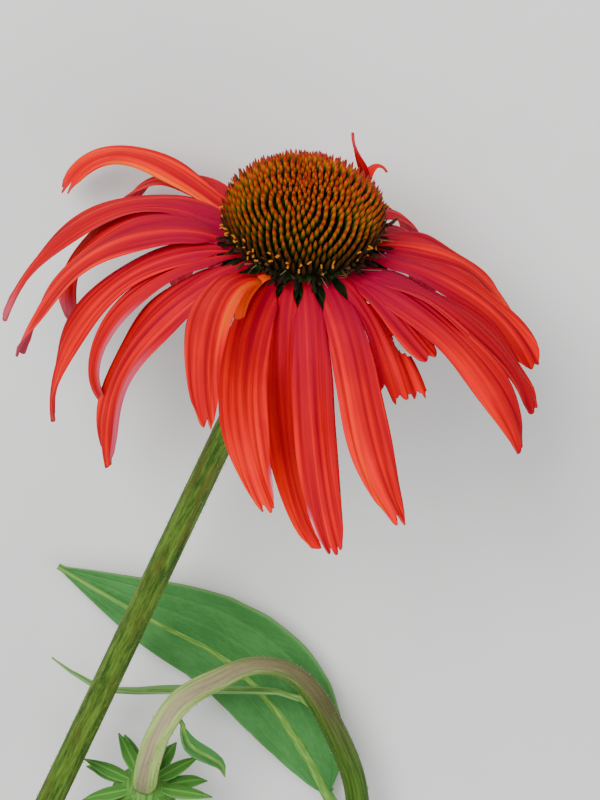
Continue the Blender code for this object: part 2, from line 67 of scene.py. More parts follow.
# Cone, with its heights along the head's axis; its edge and its lowest spines are angles from the top.
CORE_RADIUS = 0.0138
CORE_HEIGHT = 0.0096
CORE_BASE = -0.0037
CORE_BASE_RADIUS = 0.0100
CORE_EDGE = radians(100)
LOWEST_SPINE = radians(98)
SPINE_SUNK = 0.0012

# Ring that the petals grow from, as a profile of radius and height, and the petals' roots. Their hollow,
# their ribs and their wave are parts of a petal's width.
RING_PROFILE = ((0, -0.0056), (0.0114, -0.0056), (0.0114, -0.0040), (0, -0.0040))
PETAL_ROOT_RADIUS = 0.0105
PETAL_ROOT_HEIGHT = -0.0048
PETAL_CUP = 0.16
PETAL_RIB = 0.03
FINE_RIB = 0.011
PETAL_WAVE = 0.06

# Radii of the slim pointed pieces, in half widths, at shares of their length.
SPINE_PROFILE = ((0.0, 0.8), (0.3, 1.0), (0.6, 0.9), (0.8, 0.66), (0.93, 0.38), (1.0, 0.12))
FLORET_PROFILE = ((0.0, 0.8), (0.4, 0.7), (0.75, 0.8), (0.93, 1.1), (1.0, 0.5))
FLORET_HAIR_PROFILE = ((0.0, 1.0), (0.5, 0.9), (1.0, 0.3))
POLLEN_PROFILE = ((0.0, 0.3), (0.2, 1.0), (0.5, 0.7), (0.75, 1.0), (1.0, 0.25))
HAIR_PROFILE = ((0.0, 1.0), (0.4, 0.7), (1.0, 0.1))

# Hairs of the florets and of the stems. A stem's hair starts at that share of the stem's radius, is moved
# along it by up to the scatter, and is left out where it would be near the floor.
FLORET_HAIRS = 90
FLORET_HAIR_WIDTH = 0.00016
HAIR_COLOURS = ((0.10, 0.17, 0.03), (0.26, 0.34, 0.12))
HAIR_ROOT = 0.97
HAIR_SCATTER = 0.0004
HAIR_CLEARANCE = 0.0012
HAIR_BEND = 0.2
SHORTEST_HAIR = 0.0003

# Cup behind the petals and the bud: profiles of radius and height, then rows of bracts
# (count, root radius, root height, reach outwards, drop, width). The fringe fills the gaps
# between the petals' roots, and the cup's bracts are coloured near black there as painted shade.
CUP_PROFILE = (
    (0, -0.0100), (0.0032, -0.0100), (0.0062, -0.0090), (0.0084, -0.0072), (0.0086, -0.0059), (0, -0.0059))
CUP_BRACTS = ((10, 0.0070, -0.0075, 0.0062, 0.0070, 0.0032), (9, 0.0058, -0.0086, 0.0052, 0.0080, 0.0030))
FRINGE_BRACTS = (
    (26, 0.0104, -0.0055, 0.0072, 0.0026, 0.0034), (26, 0.0104, -0.0060, 0.0064, 0.0034, 0.0034))
BUD_PROFILE = (
    (0, -0.0060), (0.0022, -0.0060), (0.0040, -0.0050), (0.0060, -0.0030), (0.0068, -0.0006), (0, -0.0006))
BUD_BRACTS = ((9, 0.0036, -0.0050, 0.0098, -0.0010, 0.0030), (8, 0.0054, -0.0032, 0.0082, -0.0030, 0.0032))
BRACT_FOLD = 0.25
BRACT_THICKNESS = 0.0005
BUTTON_RADIUS = 0.0064
BUTTON_HEIGHT = 0.0042
BUTTON_FOOT = -0.0003
BUTTON_POINTS = 120
BUTTON_SUNK = 0.0006

# Stems: places are counted from the head's centre, with the height over the floor. The shoot's waist is
# its place and spread in shares of the length, and its depth. The swelling is where a stem starts.
NECK_TOP = 0.0103
NECK_BEND = 0.0210
NECK_END = 0.0380
STEM_START = (0.0026, -0.0035, 0.0412)
STEM_LENGTH = 0.276
STEM_SLOPE = radians(8.0)
STEM_HEADING = radians(24.3)
STEM_RADII = (0.0024, 0.0031)
SHOOT_ROUTE = (
    (-0.0680, -0.1625, 0.0195), (-0.0480, -0.1700, 0.0165), (-0.0200, -0.1670, 0.0125),
    (0.0020, -0.1560, 0.0105), (0.0110, -0.1430, 0.0105), (0.0115, -0.1290, 0.0108),
    (0.0082, -0.1168, 0.0118), (0.0002, -0.1018, 0.0145), (-0.0090, -0.0968, 0.0185),
    (-0.0182, -0.0990, 0.0222), (-0.0250, -0.1025, 0.0248), (-0.0292, -0.1085, 0.0260),
    (-0.0312, -0.1140, 0.0252), (-0.0322, -0.1185, 0.0228), (-0.0327, -0.1222, 0.0192),
)
SHOOT_RADII = (0.0024, 0.0025)
SHOOT_WAIST = (0.77, 0.06, 0.00065)
SWELLING = 0.0008
BUD_OFFSET = 0.0065

# Leaves: the lift of a blade's sides in half widths, the nerves' places across a half of the blade, and how
# deep the nerves and the midrib are sunk.
LEAF_FOLD = 0.22
BLADE_THICKNESS = 0.0004
STALK_DROP = 0.0004
NERVE_SPOTS = (0.36, 0.70)
NERVE_WIDTH = 0.05
NERVE_DEPTH = 0.00012
MIDRIB_HALF = 0.0007
MIDRIB_DEPTH = 0.0004

# Each leaf as in the solids: its midrib's route, its greatest width, how wide its left half is beside its
# right one, the way that it faces, its stalk's radii at its two ends, and then its slot.
Leaf = namedtuple("Leaf", "route width left upward stalk slot")
LEAVES = {
    "shoot_leaf": Leaf(
        ((0.0120, -0.1410, 0.0095), (0.0058, -0.1311, 0.0060), (-0.0004, -0.1196, 0.0045),
         (-0.0085, -0.1080, 0.0042), (-0.0180, -0.0992, 0.0040), (-0.0330, -0.0910, 0.0045),
         (-0.0512, -0.0805, 0.0028)),
        0.0288, 0.52, (0, 0, 1), (0.0016, 0.0007), "leaf_green"),
    "narrow_leaf": Leaf(
        ((0.0068, -0.1130, 0.0124), (0.0024, -0.1085, 0.0115), (-0.0035, -0.1056, 0.0108),
         (-0.0120, -0.1052, 0.0104), (-0.0280, -0.1052, 0.0104), (-0.0390, -0.1052, 0.0102),
         (-0.0455, -0.1028, 0.0100), (-0.0520, -0.0978, 0.0094)),
        0.0042, 1.0, (0, 1, 0), (0.0007, 0.0005), "narrow_leaf_green"),
    "shoot_bract": Leaf(
        ((-0.0262, -0.1050, 0.0255), (-0.0246, -0.1072, 0.0248), (-0.0242, -0.1098, 0.0242),
         (-0.0228, -0.1128, 0.0232), (-0.0192, -0.1155, 0.0218), (-0.0168, -0.1178, 0.0203),
         (-0.0158, -0.1212, 0.0185)),
        0.0036, 1.0, (0.5, 0.4, 0.8), (0.0006, 0.0004), "shoot_bract_green"),
    "stem_leaf": Leaf(
        ((-0.0700, -0.1680, 0.0190), (-0.0560, -0.1850, 0.0140), (-0.0330, -0.2040, 0.0090),
         (-0.0050, -0.2190, 0.0065), (0.0230, -0.2320, 0.0040)),
        0.0310, 1.0, (0, 0, 1), (0.0016, 0.0007), "lower_leaf_green"),
}

# Each petal as in the solids: heading round the head, length, width, rise, turn and roll. Then its
# warmth (-1 crimson, 1 orange), how rosy its root is, how pale its tip is, its teeth and their depth in
# widths, its folded edge or band of another colour, and the share of its length that is kept.
FOLD_LEFT, PLAIN, FOLD_RIGHT, ORANGE_BAND, MAUVE_EDGE = -1, 0, 1, 2, 3
Petal = namedtuple(
    "Petal", "heading length width pitch side lean warmth rose pale teeth notch strip kept",
    defaults=(PLAIN, 1.0))
PETALS = (
    Petal(150, 0.055, 0.0062, (15, 10, -75), (-30, 25), (5, -45), 0.7, 0.1, 0.3, 3, 0.75, ORANGE_BAND),
    Petal(142, 0.046, 0.0080, (18, -22, -70), (-10, -10), (0, 0), 0.0, 0.5, 0.1, 2, 0.2),
    Petal(158, 0.064, 0.0090, (30, -45, -70), (20, 45), (10, 15), 0.3, 0.8, 0.6, 2, 0.3),
    Petal(169, 0.056, 0.0080, (30, -40, -105), (-10, 35), (0, -25), -0.2, 1.0, 0.6, 2, 0.4),
    Petal(180, 0.061, 0.0100, (40, -60, -75), (10, 0), (-10, 25), -0.1, 0.8, 0.6, 2, 0.2),
    Petal(191, 0.063, 0.0088, (20, -60, -95), (5, 5), (0, 5), 0.2, 0.7, 0.2, 1, 0.2),
    Petal(201, 0.054, 0.0045, (10, -30, -130), (0, 15), (5, -20), 0.3, 0.6, 0.5, 1, 0.2, MAUVE_EDGE),
    Petal(214, 0.060, 0.0100, (5, -70, -100), (-20, -10), (-5, 0), 0.3, 0.5, 0.1, 1, 0.3, MAUVE_EDGE),
    Petal(236, 0.054, 0.0078, (45, 0, -35), (20, 50), (10, -40), 0.6, 0.1, 0.1, 2, 0.3, ORANGE_BAND),
    # The short strip's warmth of 4 takes it to the brighter orange: painted light on a strip that lies in
    # shade.
    Petal(243, 0.017, 0.0026, (40, 0, -60), (-25, 40), (0, 0), 4.0, 0.0, 0.0, 1, 0.2),
    Petal(247, 0.054, 0.0090, (5, -30, -30), (20, 55), (5, -15), 0.6, 0.5, 0.05, 3, 0.25, FOLD_RIGHT),
    # Its warmth is raised past its own red so that it reads brighter: painted light on a petal that lies in
    # its neighbours' shade.
    Petal(261, 0.055, 0.0076, (5, -100, -30), (15, 55), (5, -25), 0.7, 0.4, 0.05, 1, 0.2),
    Petal(277, 0.056, 0.0078, (-5, -45, -40), (-10, 20), (0, 15), -0.1, 0.8, 0.05, 3, 0.25, FOLD_LEFT),
    Petal(294, 0.057, 0.0084, (5, -40, -10), (-25, 5), (5, -10), 0.2, 0.7, 0.1, 2, 0.35),
    Petal(312, 0.050, 0.0094, (0, -65, -25), (-18, -21), (-60, 60), 0.1, 0.7, 0.0, 3, 0.2, PLAIN, 0.60),
    Petal(317, 0.048, 0.0060, (12, -42, -7), (-23, 30), (-20, 37), -0.3, 0.7, 0.0, 2, 0.2, PLAIN, 0.56),
    Petal(322, 0.053, 0.0088, (10, -15, -75), (0, 10), (0, 5), 0.0, 0.9, 0.1, 2, 0.3),
    Petal(333, 0.049, 0.0092, (10, -20, -70), (5, 5), (-45, 10), 0.1, 0.9, 0.1, 2, 0.25),
    Petal(350, 0.045, 0.0080, (10, -30, -65), (0, 0), (-20, 50), 0.0, 0.9, 0.1, 2, 0.2),
    Petal(367, 0.044, 0.0105, (15, -50, -65), (10, 10), (0, 0), 0.1, 0.7, 0.1, 3, 0.2),
    Petal(383, 0.046, 0.0085, (5, -65, -95), (0, 5), (0, 0), 0.0, 0.6, 0.2, 3, 0.25),
    Petal(398, 0.022, 0.0020, (-23, 96, -69), (103, -24), (0, 0), 1.0, 0.0, 0.0, 1, 0.2),
    Petal(406, 0.0595, 0.0085, (5, -80, -110), (0, -5), (0, 0), 0.1, 0.6, 0.2, 3, 0.25),
    Petal(411, 0.0245, 0.0034, (-50, 170, 92), (10, -46), (0, 0), 0.1, 0.2, 0.0, 1, 0.2),
    Petal(432, 0.050, 0.0085, (5, -95, -110), (0, -5), (0, 0), -0.1, 0.6, 0.2, 2, 0.25),
    Petal(447, 0.048, 0.0085, (0, -100, -115), (0, 5), (0, 0), 0.1, 0.6, 0.2, 3, 0.25),
    Petal(462, 0.047, 0.0085, (5, -105, -110), (0, -5), (0, 0), 0.0, 0.6, 0.2, 2, 0.25),
    Petal(477, 0.055, 0.0085, (5, -85, -115), (0, 5), (0, 0), 0.1, 0.6, 0.2, 3, 0.25),
    Petal(490, 0.050, 0.0080, (5, -65, -105), (5, 5), (0, 0), 0.0, 0.6, 0.2, 2, 0.25),
)

# Each petal's grid: its columns, its rows at least and one more for each step of its length, and the
# steps that its centre line is summed in. The shift gives every petal its own part of the noise.
PETAL_COLUMNS = 25
PETAL_ROWS = 12
PETAL_ROW_STEP = 0.0011
PETAL_STEPS = 241
PETAL_SHIFT = 0.037

# The petal with a bite in its side and a small hole: its number, and each oval's place and half length
# in shares of the length, then its place and half width in half widths.
CHEWED_PETAL = 14
CHEWED_OVALS = ((0.37, 0.055, 1.05, 0.6), (0.18, 0.016, 0.25, 0.22))

# Lights, each with its name, place and size, and the place that they point at. Camera: its tilt, its
# distance from the bloom, its lens in mm and how far it is moved aside and down.
LIGHTS = (("key", (-0.35, 0.55, 0.9), 0.7), ("fill", (0.7, -0.3, 0.7), 0.9))
LIGHTS_AIM = Vector((0, 0.05, 0))
CAMERA_TILT = radians(14)
CAMERA_DISTANCE = 0.600
CAMERA_LENS = 142.1
CAMERA_ASIDE = -0.00057
CAMERA_BELOW = -0.03325


# Shader maths


class Value:
    """One shader socket, so that sums and products of values read as Python expressions."""

    def __init__(self, look, socket):
        self.look, self.socket = look, socket

    def math(self, operation, *others):
        sockets = dict(enumerate((self, *others)))
        return self.look.add("ShaderNodeMath", {"operation": operation}, sockets)

    def __add__(self, other):
        return self.math("ADD", other)

    def __sub__(self, other):
        return self.math("SUBTRACT", other)

    def __mul__(self, other):
        return self.math("MULTIPLY", other)

    def __rsub__(self, other):
        return self.look.add("ShaderNodeMath", {"operation": "SUBTRACT"}, {0: other, 1: self})

    __radd__ = __add__
    __rmul__ = __mul__

    def between(self, low, high):
        """0 below low, 1 above high, and a smooth step between them."""
        sockets = {0: self, 1: low, 2: high, 3: 0.0, 4: 1.0}
        return self.look.add("ShaderNodeMapRange", {"interpolation_type": "SMOOTHSTEP"}, sockets)


class Look:
    """A material in the making, which adds nodes and hands out their sockets."""

    def __init__(self, name):
        self.material = bpy.data.materials.new(name)
        self.material.use_nodes = True
        self.tree = self.material.node_tree
        self.shader = self.tree.nodes["Principled BSDF"]

    def add(self, kind, settings=(), sockets=(), output=0):
        """One node: its settings are set first, then the values or links of its sockets."""
        node = self.tree.nodes.new(kind)
        for key, value in dict(settings).items():
            if key == "stops":
                self.set_stops(node.color_ramp, value)
            else:
                setattr(node, key, value)
        for key, value in dict(sockets).items():
            self.join(node.inputs[key], value)
        return Value(self, node.outputs[output])

    def join(self, socket, value):
        if isinstance(value, Value):
            self.tree.links.new(value.socket, socket)
        elif socket.type == "RGBA":
            socket.default_value = (*value, 1)
        else:
            socket.default_value = value

    def set_stops(self, ramp, stops):
        while len(ramp.elements) < len(stops):
            ramp.elements.new(1)
        for element, (place, colour) in zip(ramp.elements, stops):
            element.position = place
            element.color = (*colour, 1)

    def vector(self, name):
        return self.add("ShaderNodeAttribute", {"attribute_name": name}, output="Vector")

    def numbers(self, *names):
        return [self.add("ShaderNodeAttribute", {"attribute_name": name}, output="Fac") for name in names]

    def parts(self, vector):
        """The three parts of a vector."""
        node = self.add("ShaderNodeSeparateXYZ", (), {0: vector}).socket.node
        return [Value(self, socket) for socket in node.outputs]

    def noise(self, place, stretch, detail=3.0, roughness=0.55):
        """Noise with its own number of waves to a metre along each axis of the place."""
        wide = self.add("ShaderNodeVectorMath", {"operation": "MULTIPLY"}, {0: place, 1: stretch})
        sockets = {"Vector": wide, "Scale": 1.0, "Detail": detail, "Roughness": roughness}
        return self.add("ShaderNodeTexNoise", (), sockets)

    def mix(self, share, first, second):
        settings = {"data_type": "RGBA", "clamp_factor": True}
        return self.add("ShaderNodeMix", settings, {0: share, 6: first, 7: second}, output=2)

    def ramp(self, value, stops):
        return self.add("ShaderNodeValToRGB", {"stops": stops}, {0: value})

    def finish(self, colour, roughness, height=None, depth=0.0001, strength=1.0, shine=0.3):
        """Joins colour, roughness and relief to the shader; shine is the same all over."""
        self.join(self.shader.inputs["Base Color"], colour)
        self.join(self.shader.inputs["Roughness"], roughness)
        self.shader.inputs["Specular IOR Level"].default_value = shine
        if height is not None:
            sockets = {"Height": height, "Distance": depth, "Strength": strength}
            self.join(self.shader.inputs["Normal"], self.add("ShaderNodeBump", (), sockets))
        return self.material


# Curves and frames


def blend(start, middle, end, along):
    """The smooth curve that leaves start, is drawn towards middle and reaches end."""
    return (1 - along) ** 2 * start + 2 * along * (1 - along) * middle + along**2 * end


def ease(low, high, value):
    """0 below low, 1 above high, and a smooth step between them."""
    part = np.clip((value - low) / (high - low), 0, 1)
    return part * part * (3 - 2 * part)


def band(rise, fall, value):
    """0, then 1 past the rise, then 0 again past the fall, with smooth steps."""
    return ease(*rise, value) * (1 - ease(*fall, value))


def bell(middle, spread, value):
    """The bell curve: 1 at its middle and about a third at one spread away."""
    return np.exp(-(((value - middle) / spread) ** 2))


def unit(vectors):
    return vectors / np.maximum(np.linalg.norm(vectors, axis=-1, keepdims=True), 1e-12)


def level_direction(angle):
    return np.stack([np.cos(angle), np.sin(angle), 0 * angle], -1)


def from_head(places):
    """World places from places counted from the head's centre, with heights over the floor."""
    return np.array(places, float) + (HEAD_CENTRE[0], HEAD_CENTRE[1], 0)


def head_frame():
    """Turn and place of the head: its own Z is the cone's axis."""
    turn = Matrix.Rotation(-HEAD_TURN, 3, "Z") @ Matrix.Rotation(-HEAD_TILT, 3, "X")
    return np.array(turn), HEAD_CENTRE


def placed(points, place):
    turn, centre = place
    return points @ turn.T + centre


def travelled(points):
    """How far along its line each point is."""
    return np.concatenate([[0], np.cumsum(np.linalg.norm(np.diff(points, axis=0), axis=1))])


def spaced(points, count):
    """The same line with its points spaced evenly."""
    reach = travelled(points)
    wanted = np.linspace(0, reach[-1], count)
    return np.stack([np.interp(wanted, reach, points[:, axis]) for axis in range(3)], 1)


def smooth_route(points, count):
    """Evenly spaced points on the smooth curve through the given ones."""
    points = np.array(points, float)
    padded = np.vstack([2 * points[0] - points[1], points, 2 * points[-1] - points[-2]])
    steps = np.linspace(0, 1, 12, endpoint=False)[:, None]
    runs = []
    for before, start, end, after in zip(padded, padded[1:], padded[2:], padded[3:]):
        runs.append(
            0.5 * (2 * start + (end - before) * steps
                   + (2 * before - 5 * start + 4 * end - after) * steps**2
                   + (3 * start - before - 3 * end + after) * steps**3)
        )
    return spaced(np.vstack(runs + [points[-1:]]), count)


def line_frames(route):
    """Directions along a line, and the two directions square to it."""
    ahead = unit(np.gradient(route, axis=0))
    side = unit(np.cross(ahead, UP))
    return ahead, side, np.cross(side, ahead)


def round_angles(sides):
    return 2 * pi * np.arange(sides) / sides


# Meshes


def grid_quads(rows, columns):
    """Corner numbers of a grid's quads, with its last column joined to the first."""
    numbers = np.arange(rows * columns).reshape(rows, columns)
    numbers = np.hstack([numbers, numbers[:, :1]])
    corners = (numbers[:-1, :-1], numbers[:-1, 1:], numbers[1:, 1:], numbers[1:, :-1])
    return np.stack(corners, -1).reshape(-1, 4)


class Shape:
    """Points, faces and named numbers per point, gathered from many parts into one mesh."""

    def __init__(self):
        self.points, self.faces, self.values, self.under, self.count = [], [], {}, [], 0

    def add(self, points, faces, values, under=(0.0, 0.0, 0.0)):
        """faces is a list of arrays, and under says for each how far it is on the lower side."""
        points = points.reshape(-1, 3)
        self.points.append(points)
        for one, share in zip(faces, under):
            self.faces.append(one + self.count)
            self.under.append(np.full(len(one), share))
        for name, value in values.items():
            self.values.setdefault(name, []).append(value.reshape(len(points), -1))
        self.count += len(points)
        return self

    def laid_down(self):
        """The shape with whatever would be under the floor laid flat on it."""
        for part in self.points:
            np.maximum(part[:, 2], 0.0, out=part[:, 2])
        return self

    def made(self, name, material, slot, node, weld=False):
        """The object, at the origin, with its material and the solid that it stands for; the slot is not
        used.
        """
        points = np.vstack(self.points)
        corners = np.concatenate([one.ravel() for one in self.faces])
        sizes = np.concatenate([np.full(len(one), one.shape[1]) for one in self.faces])
        mesh = bpy.data.meshes.new(name)
        mesh.vertices.add(len(points))
        mesh.vertices.foreach_set("co", points.ravel())
        mesh.loops.add(len(corners))
        mesh.loops.foreach_set("vertex_index", corners)
        mesh.polygons.add(len(sizes))
        mesh.polygons.foreach_set("loop_start", np.concatenate([[0], np.cumsum(sizes)[:-1]]))
        mesh.polygons.foreach_set("loop_total", sizes)
        mesh.update(calc_edges=True)
        for label, parts in self.values.items():
            value = np.vstack(parts)
            kind, field = ("FLOAT_VECTOR", "vector") if value.shape[1] == 3 else ("FLOAT", "value")
            mesh.attributes.new(label, kind, "POINT").data.foreach_set(field, value.ravel())
        under = np.concatenate(self.under)
        mesh.attributes.new("under", "FLOAT", "FACE").data.foreach_set("value", under)
        if weld:
            shape = bmesh.new()
            shape.from_mesh(mesh)
            bmesh.ops.remove_doubles(shape, verts=shape.verts, dist=WELD_REACH)
            bmesh.ops.recalc_face_normals(shape, faces=shape.faces)
            shape.to_mesh(mesh)
            shape.free()
        mesh.validate()
        mesh.shade_smooth()
        mesh.materials.append(material)
        made = bpy.data.objects.new(name, mesh)
        bpy.context.scene.collection.objects.link(made)
        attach(made, "root")
        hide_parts(node)
        return made


def add_sheet(shape, points, thickness, values, kept=None):
    """A closed thin sheet round a middle surface: each side is half the thickness away along the normal,
    and the rim joins the two sides all round whatever is kept of the grid."""
    rows, columns = points.shape[:2]
    normals = unit(np.cross(np.gradient(points, axis=0), np.gradient(points, axis=1)))
    half = np.broadcast_to(thickness, (rows, columns))[..., None] / 2
    kept = np.ones((rows - 1, columns - 1), bool) if kept is None else kept
    numbers = np.arange(rows * columns).reshape(rows, columns)
    quads = np.stack([numbers[:-1, :-1], numbers[1:, :-1], numbers[1:, 1:], numbers[:-1, 1:]], -1)
    framed = np.pad(kept, 1)
    neighbours = (framed[1:-1, :-2], framed[2:, 1:-1], framed[1:-1, 2:], framed[:-2, 1:-1])
    rims = []
    for side, beyond in enumerate(neighbours):
        edge = quads[kept & ~beyond]
        start, end = edge[:, side], edge[:, (side + 1) % 4]
        rims.append(np.stack([end, start, start + rows * columns, end + rows * columns], 1))
    chosen = quads[kept]
    faces = [chosen, chosen[:, ::-1] + rows * columns, np.concatenate(rims)]
    both = np.concatenate([points + normals * half, points - normals * half])
    doubled = {name: np.concatenate([value, value]) for name, value in values.items()}
    return shape.add(both, faces, doubled, (0.0, 1.0, 0.5))


def add_prongs(shape, roots, directions, lengths, widths, profile, sides, bend, values, place=None):
    """Slim pointed pieces: place = root + length (share direction + share squared bend) + radius round it,
    where profile gives the radius, in half widths, at each share of the length."""
    if place:
        turn = place[0].T
        roots, directions, bend = placed(roots, place), directions @ turn, bend @ turn
    shares, radii = np.array(profile).T
    count, stations = len(roots), len(shares)
    across = unit(np.cross(directions, (0.31, 0.17, 0.93)))
    above = np.cross(directions, across)
    angles = round_angles(sides)
    lengths, widths = np.broadcast_to(lengths, count), np.broadcast_to(widths, count)
    course = shares[None, :, None] * directions[:, None] + (shares**2)[None, :, None] * bend[:, None]
    centre = roots[:, None] + lengths[:, None, None] * course
    spokes = np.cos(angles)[None, :, None] * across[:, None] + np.sin(angles)[None, :, None] * above[:, None]
    reach = widths[:, None] / 2 * radii[None]
    points = centre[:, :, None] + reach[:, :, None, None] * spokes[:, None]
    shift = (np.arange(count) * stations * sides)[:, None, None]
    quads = (grid_quads(stations, sides)[None] + shift).reshape(-1, 4)
    first = np.arange(sides)[::-1][None] + shift[:, :, 0]
    last = np.arange(sides)[None] + (stations - 1) * sides + shift[:, :, 0]
    spread = {"share": np.broadcast_to(shares[None, :, None], (count, stations, sides))}
    for name, value in values.items():
        spread[name] = np.broadcast_to(value[:, None, None], (count, stations, sides))
    return shape.add(points, [quads, first, last], spread)


def add_tube(shape, route, radii, relief, cap=(0.0,)):
    """A tube: place = route + radius (1 + relief) round it. relief is a grid of stations by sides, and
    cap gives the shares of the radius that close the last end flat, ring by ring."""
    stations, sides = relief.shape
    _, side, above = line_frames(route)
    angles = round_angles(sides)
    spokes = np.cos(angles)[None, :, None] * side[:, None] + np.sin(angles)[None, :, None] * above[:, None]
    share = np.concatenate([[0.0], np.ones(stations), cap])
    station = np.clip(np.arange(len(share)) - 1, 0, stations - 1)
    reach = (radii[:, None] * (1 + relief))[station] * share[:, None]
    points = route[station][:, None] + reach[..., None] * spokes[station]
    length = np.broadcast_to(travelled(route)[station][:, None], reach.shape)
    local = np.stack([reach * np.cos(angles), reach * np.sin(angles), length], -1)
    faces = grid_quads(len(share), sides)[:, ::-1]
    return shape.add(points, [faces], {"place": local, "rim": np.broadcast_to(share[:, None], reach.shape)})


def add_turned(shape, profile, sides, place):
    """A profile of (radius, height) pairs turned round the frame's own Z."""
    radius, height = np.array(profile, float).T[..., None]
    angles = round_angles(sides)
    points = np.stack([radius * np.cos(angles), radius * np.sin(angles), height + 0 * angles], -1)
    points = points.reshape(-1, 3)
    return shape.add(placed(points, place), [grid_quads(len(radius), sides)], {"place": points})


HEAD = head_frame()


# The bloom's petals


def petal_half_width(along):
    """A narrow claw at the root, the full width by the middle and a narrower tip, as parts of 1."""
    claw = 0.25 + 0.5 * ease(0.06, 0.18, along) + 0.25 * ease(0.15, 0.45, along)
    narrowing = np.clip((along - 0.6) / 0.4, 0, 1)
    return claw * (1 - 0.55 * narrowing**2)


def petal_tip(petal, number, across):
    """How far each part of the tip is cut back, in petal widths: the gaps between its teeth and its
    rounded shoulders. A chewed tip is ragged instead."""
    if number == CHEWED_PETAL:
        ragged = 0.16 * np.abs(np.sin(7 * across + 0.5)) + 0.05 * np.abs(np.sin(19 * across))
        return ragged + 0.3 * (across < -0.6)
    uneven = 0.25 * (1 - across**2) * np.sin(number)
    wave = np.abs(np.sin(pi * petal.teeth * (across + 1) / 2 + uneven))
    return petal.notch * (1 - wave**0.8) + 0.35 * np.abs(across) ** 3


def petal_surface(petal, number, across, rows):
    """The petal's middle surface in the head's frame. Its direction turns smoothly from root to tip and is
    summed to its centre line; across it the surface is cupped, ribbed and waved, and the tip is toothed."""
    fine = np.linspace(0, 1, PETAL_STEPS)
    pitch = np.radians(blend(*petal.pitch, fine) * ease(-0.02, 0.12, fine))[:, None]
    heading = np.radians(petal.heading + blend(0, *petal.side, fine))
    roll = np.radians(blend(0, *petal.lean, fine))[:, None]
    ahead = np.cos(pitch) * level_direction(heading) + np.sin(pitch) * UP
    root = np.radians(petal.heading)
    centre = np.zeros((len(fine), 3))
    centre[1:] = np.cumsum((ahead[1:] + ahead[:-1]) / 2, 0) * petal.length / (len(fine) - 1)
    centre += PETAL_ROOT_RADIUS * level_direction(root) + PETAL_ROOT_HEIGHT * UP
    level = np.stack([-np.sin(heading), np.cos(heading), np.zeros_like(fine)], 1)
    side = np.cos(roll) * level + np.sin(roll) * np.cross(ahead, level)
    face = np.cross(ahead, side)

    along = np.linspace(0, 1, rows)[:, None]
    cut = petal_tip(petal, number, across) * petal.width / petal.length
    share = petal.kept * along - cut * ease(0.72, 1.0, along)

    def at(values):
        return np.stack([np.interp(share, fine, values[:, axis]) for axis in range(3)], -1)

    half = petal.width / 2 * petal_half_width(share)
    ribs = PETAL_RIB * np.cos(2 * pi * across) + FINE_RIB * np.cos(2 * pi * 2.5 * across + number)
    ripple = PETAL_WAVE * across * np.sin(2 * pi * (2 * share + 0.3 * number))
    lift = -PETAL_CUP * half * across**2 + petal.width * ease(0.1, 0.4, share) * (ribs + ripple)
    points = at(centre) + at(side) * (half * across)[..., None] + at(face) * lift[..., None]
    return points, share, half * across


def petal_blush(petal, share, across):
    """Warmth, rose and paleness over a petal, with its folded edge or its band of another colour."""
    warmth = petal.warmth + 0.9 * (share - 0.6)
    rose = petal.rose * (1 - ease(0.05, 0.62, share))
    pale = petal.pale * ease(0.98 - 0.3 * petal.pale, 1.0, share)
    if petal.strip in (FOLD_LEFT, FOLD_RIGHT):
        edge = ease(0.80, 0.88, petal.strip * across)
        pale = np.maximum(pale, edge * band((0.80, 0.88), (0.95, 0.98), share))
    elif petal.strip == MAUVE_EDGE:
        edge = ease(0.45, 0.75, across)
        pale = np.maximum(pale, 0.55 * edge * band((0.35, 0.6), (0.9, 0.98), share))
    elif petal.strip == ORANGE_BAND:
        warmth = warmth + 2.2 * ease(0.25, 0.75, across) * band((0.0, 0.12), (0.5, 0.8), share)
    return np.stack([warmth, rose, pale], -1)


def unchewed(share, across):
    """Which quads of the chewed petal are left beside its ovals."""
    middle = (share[:-1, :-1] + share[1:, 1:]) / 2
    centre = (across[:-1] + across[1:]) / 2
    kept = np.ones(middle.shape, bool)
    for along, half_length, aside, half_width in CHEWED_OVALS:
        kept &= ((middle - along) / half_length) ** 2 + ((centre - aside) / half_width) ** 2 >= 1
    return kept


def build_petals(bloom):
    """All the petals as closed thin sheets, with their own warmth, rosy roots and pale tips."""
    shape = Shape()
    across = np.linspace(-1, 1, PETAL_COLUMNS)
    for number, petal in enumerate(PETALS):
        rows = PETAL_ROWS + int(petal.length * petal.kept / PETAL_ROW_STEP)
        points, share, aside = petal_surface(petal, number, across, rows)
        thickness = bloom.petal_thickness * (1 - 0.6 * across**6)
        place = np.stack([aside, share * petal.length, np.full_like(share, number * PETAL_SHIFT)], -1)
        kept = unchewed(share, across) if number == CHEWED_PETAL else None
        values = {"place": place, "blush": petal_blush(petal, share, across)}
        add_sheet(shape, placed(points, HEAD), thickness, values, kept)
    return shape.laid_down().made("petals", petal_look(bloom), "petal_red", "ray_petals")


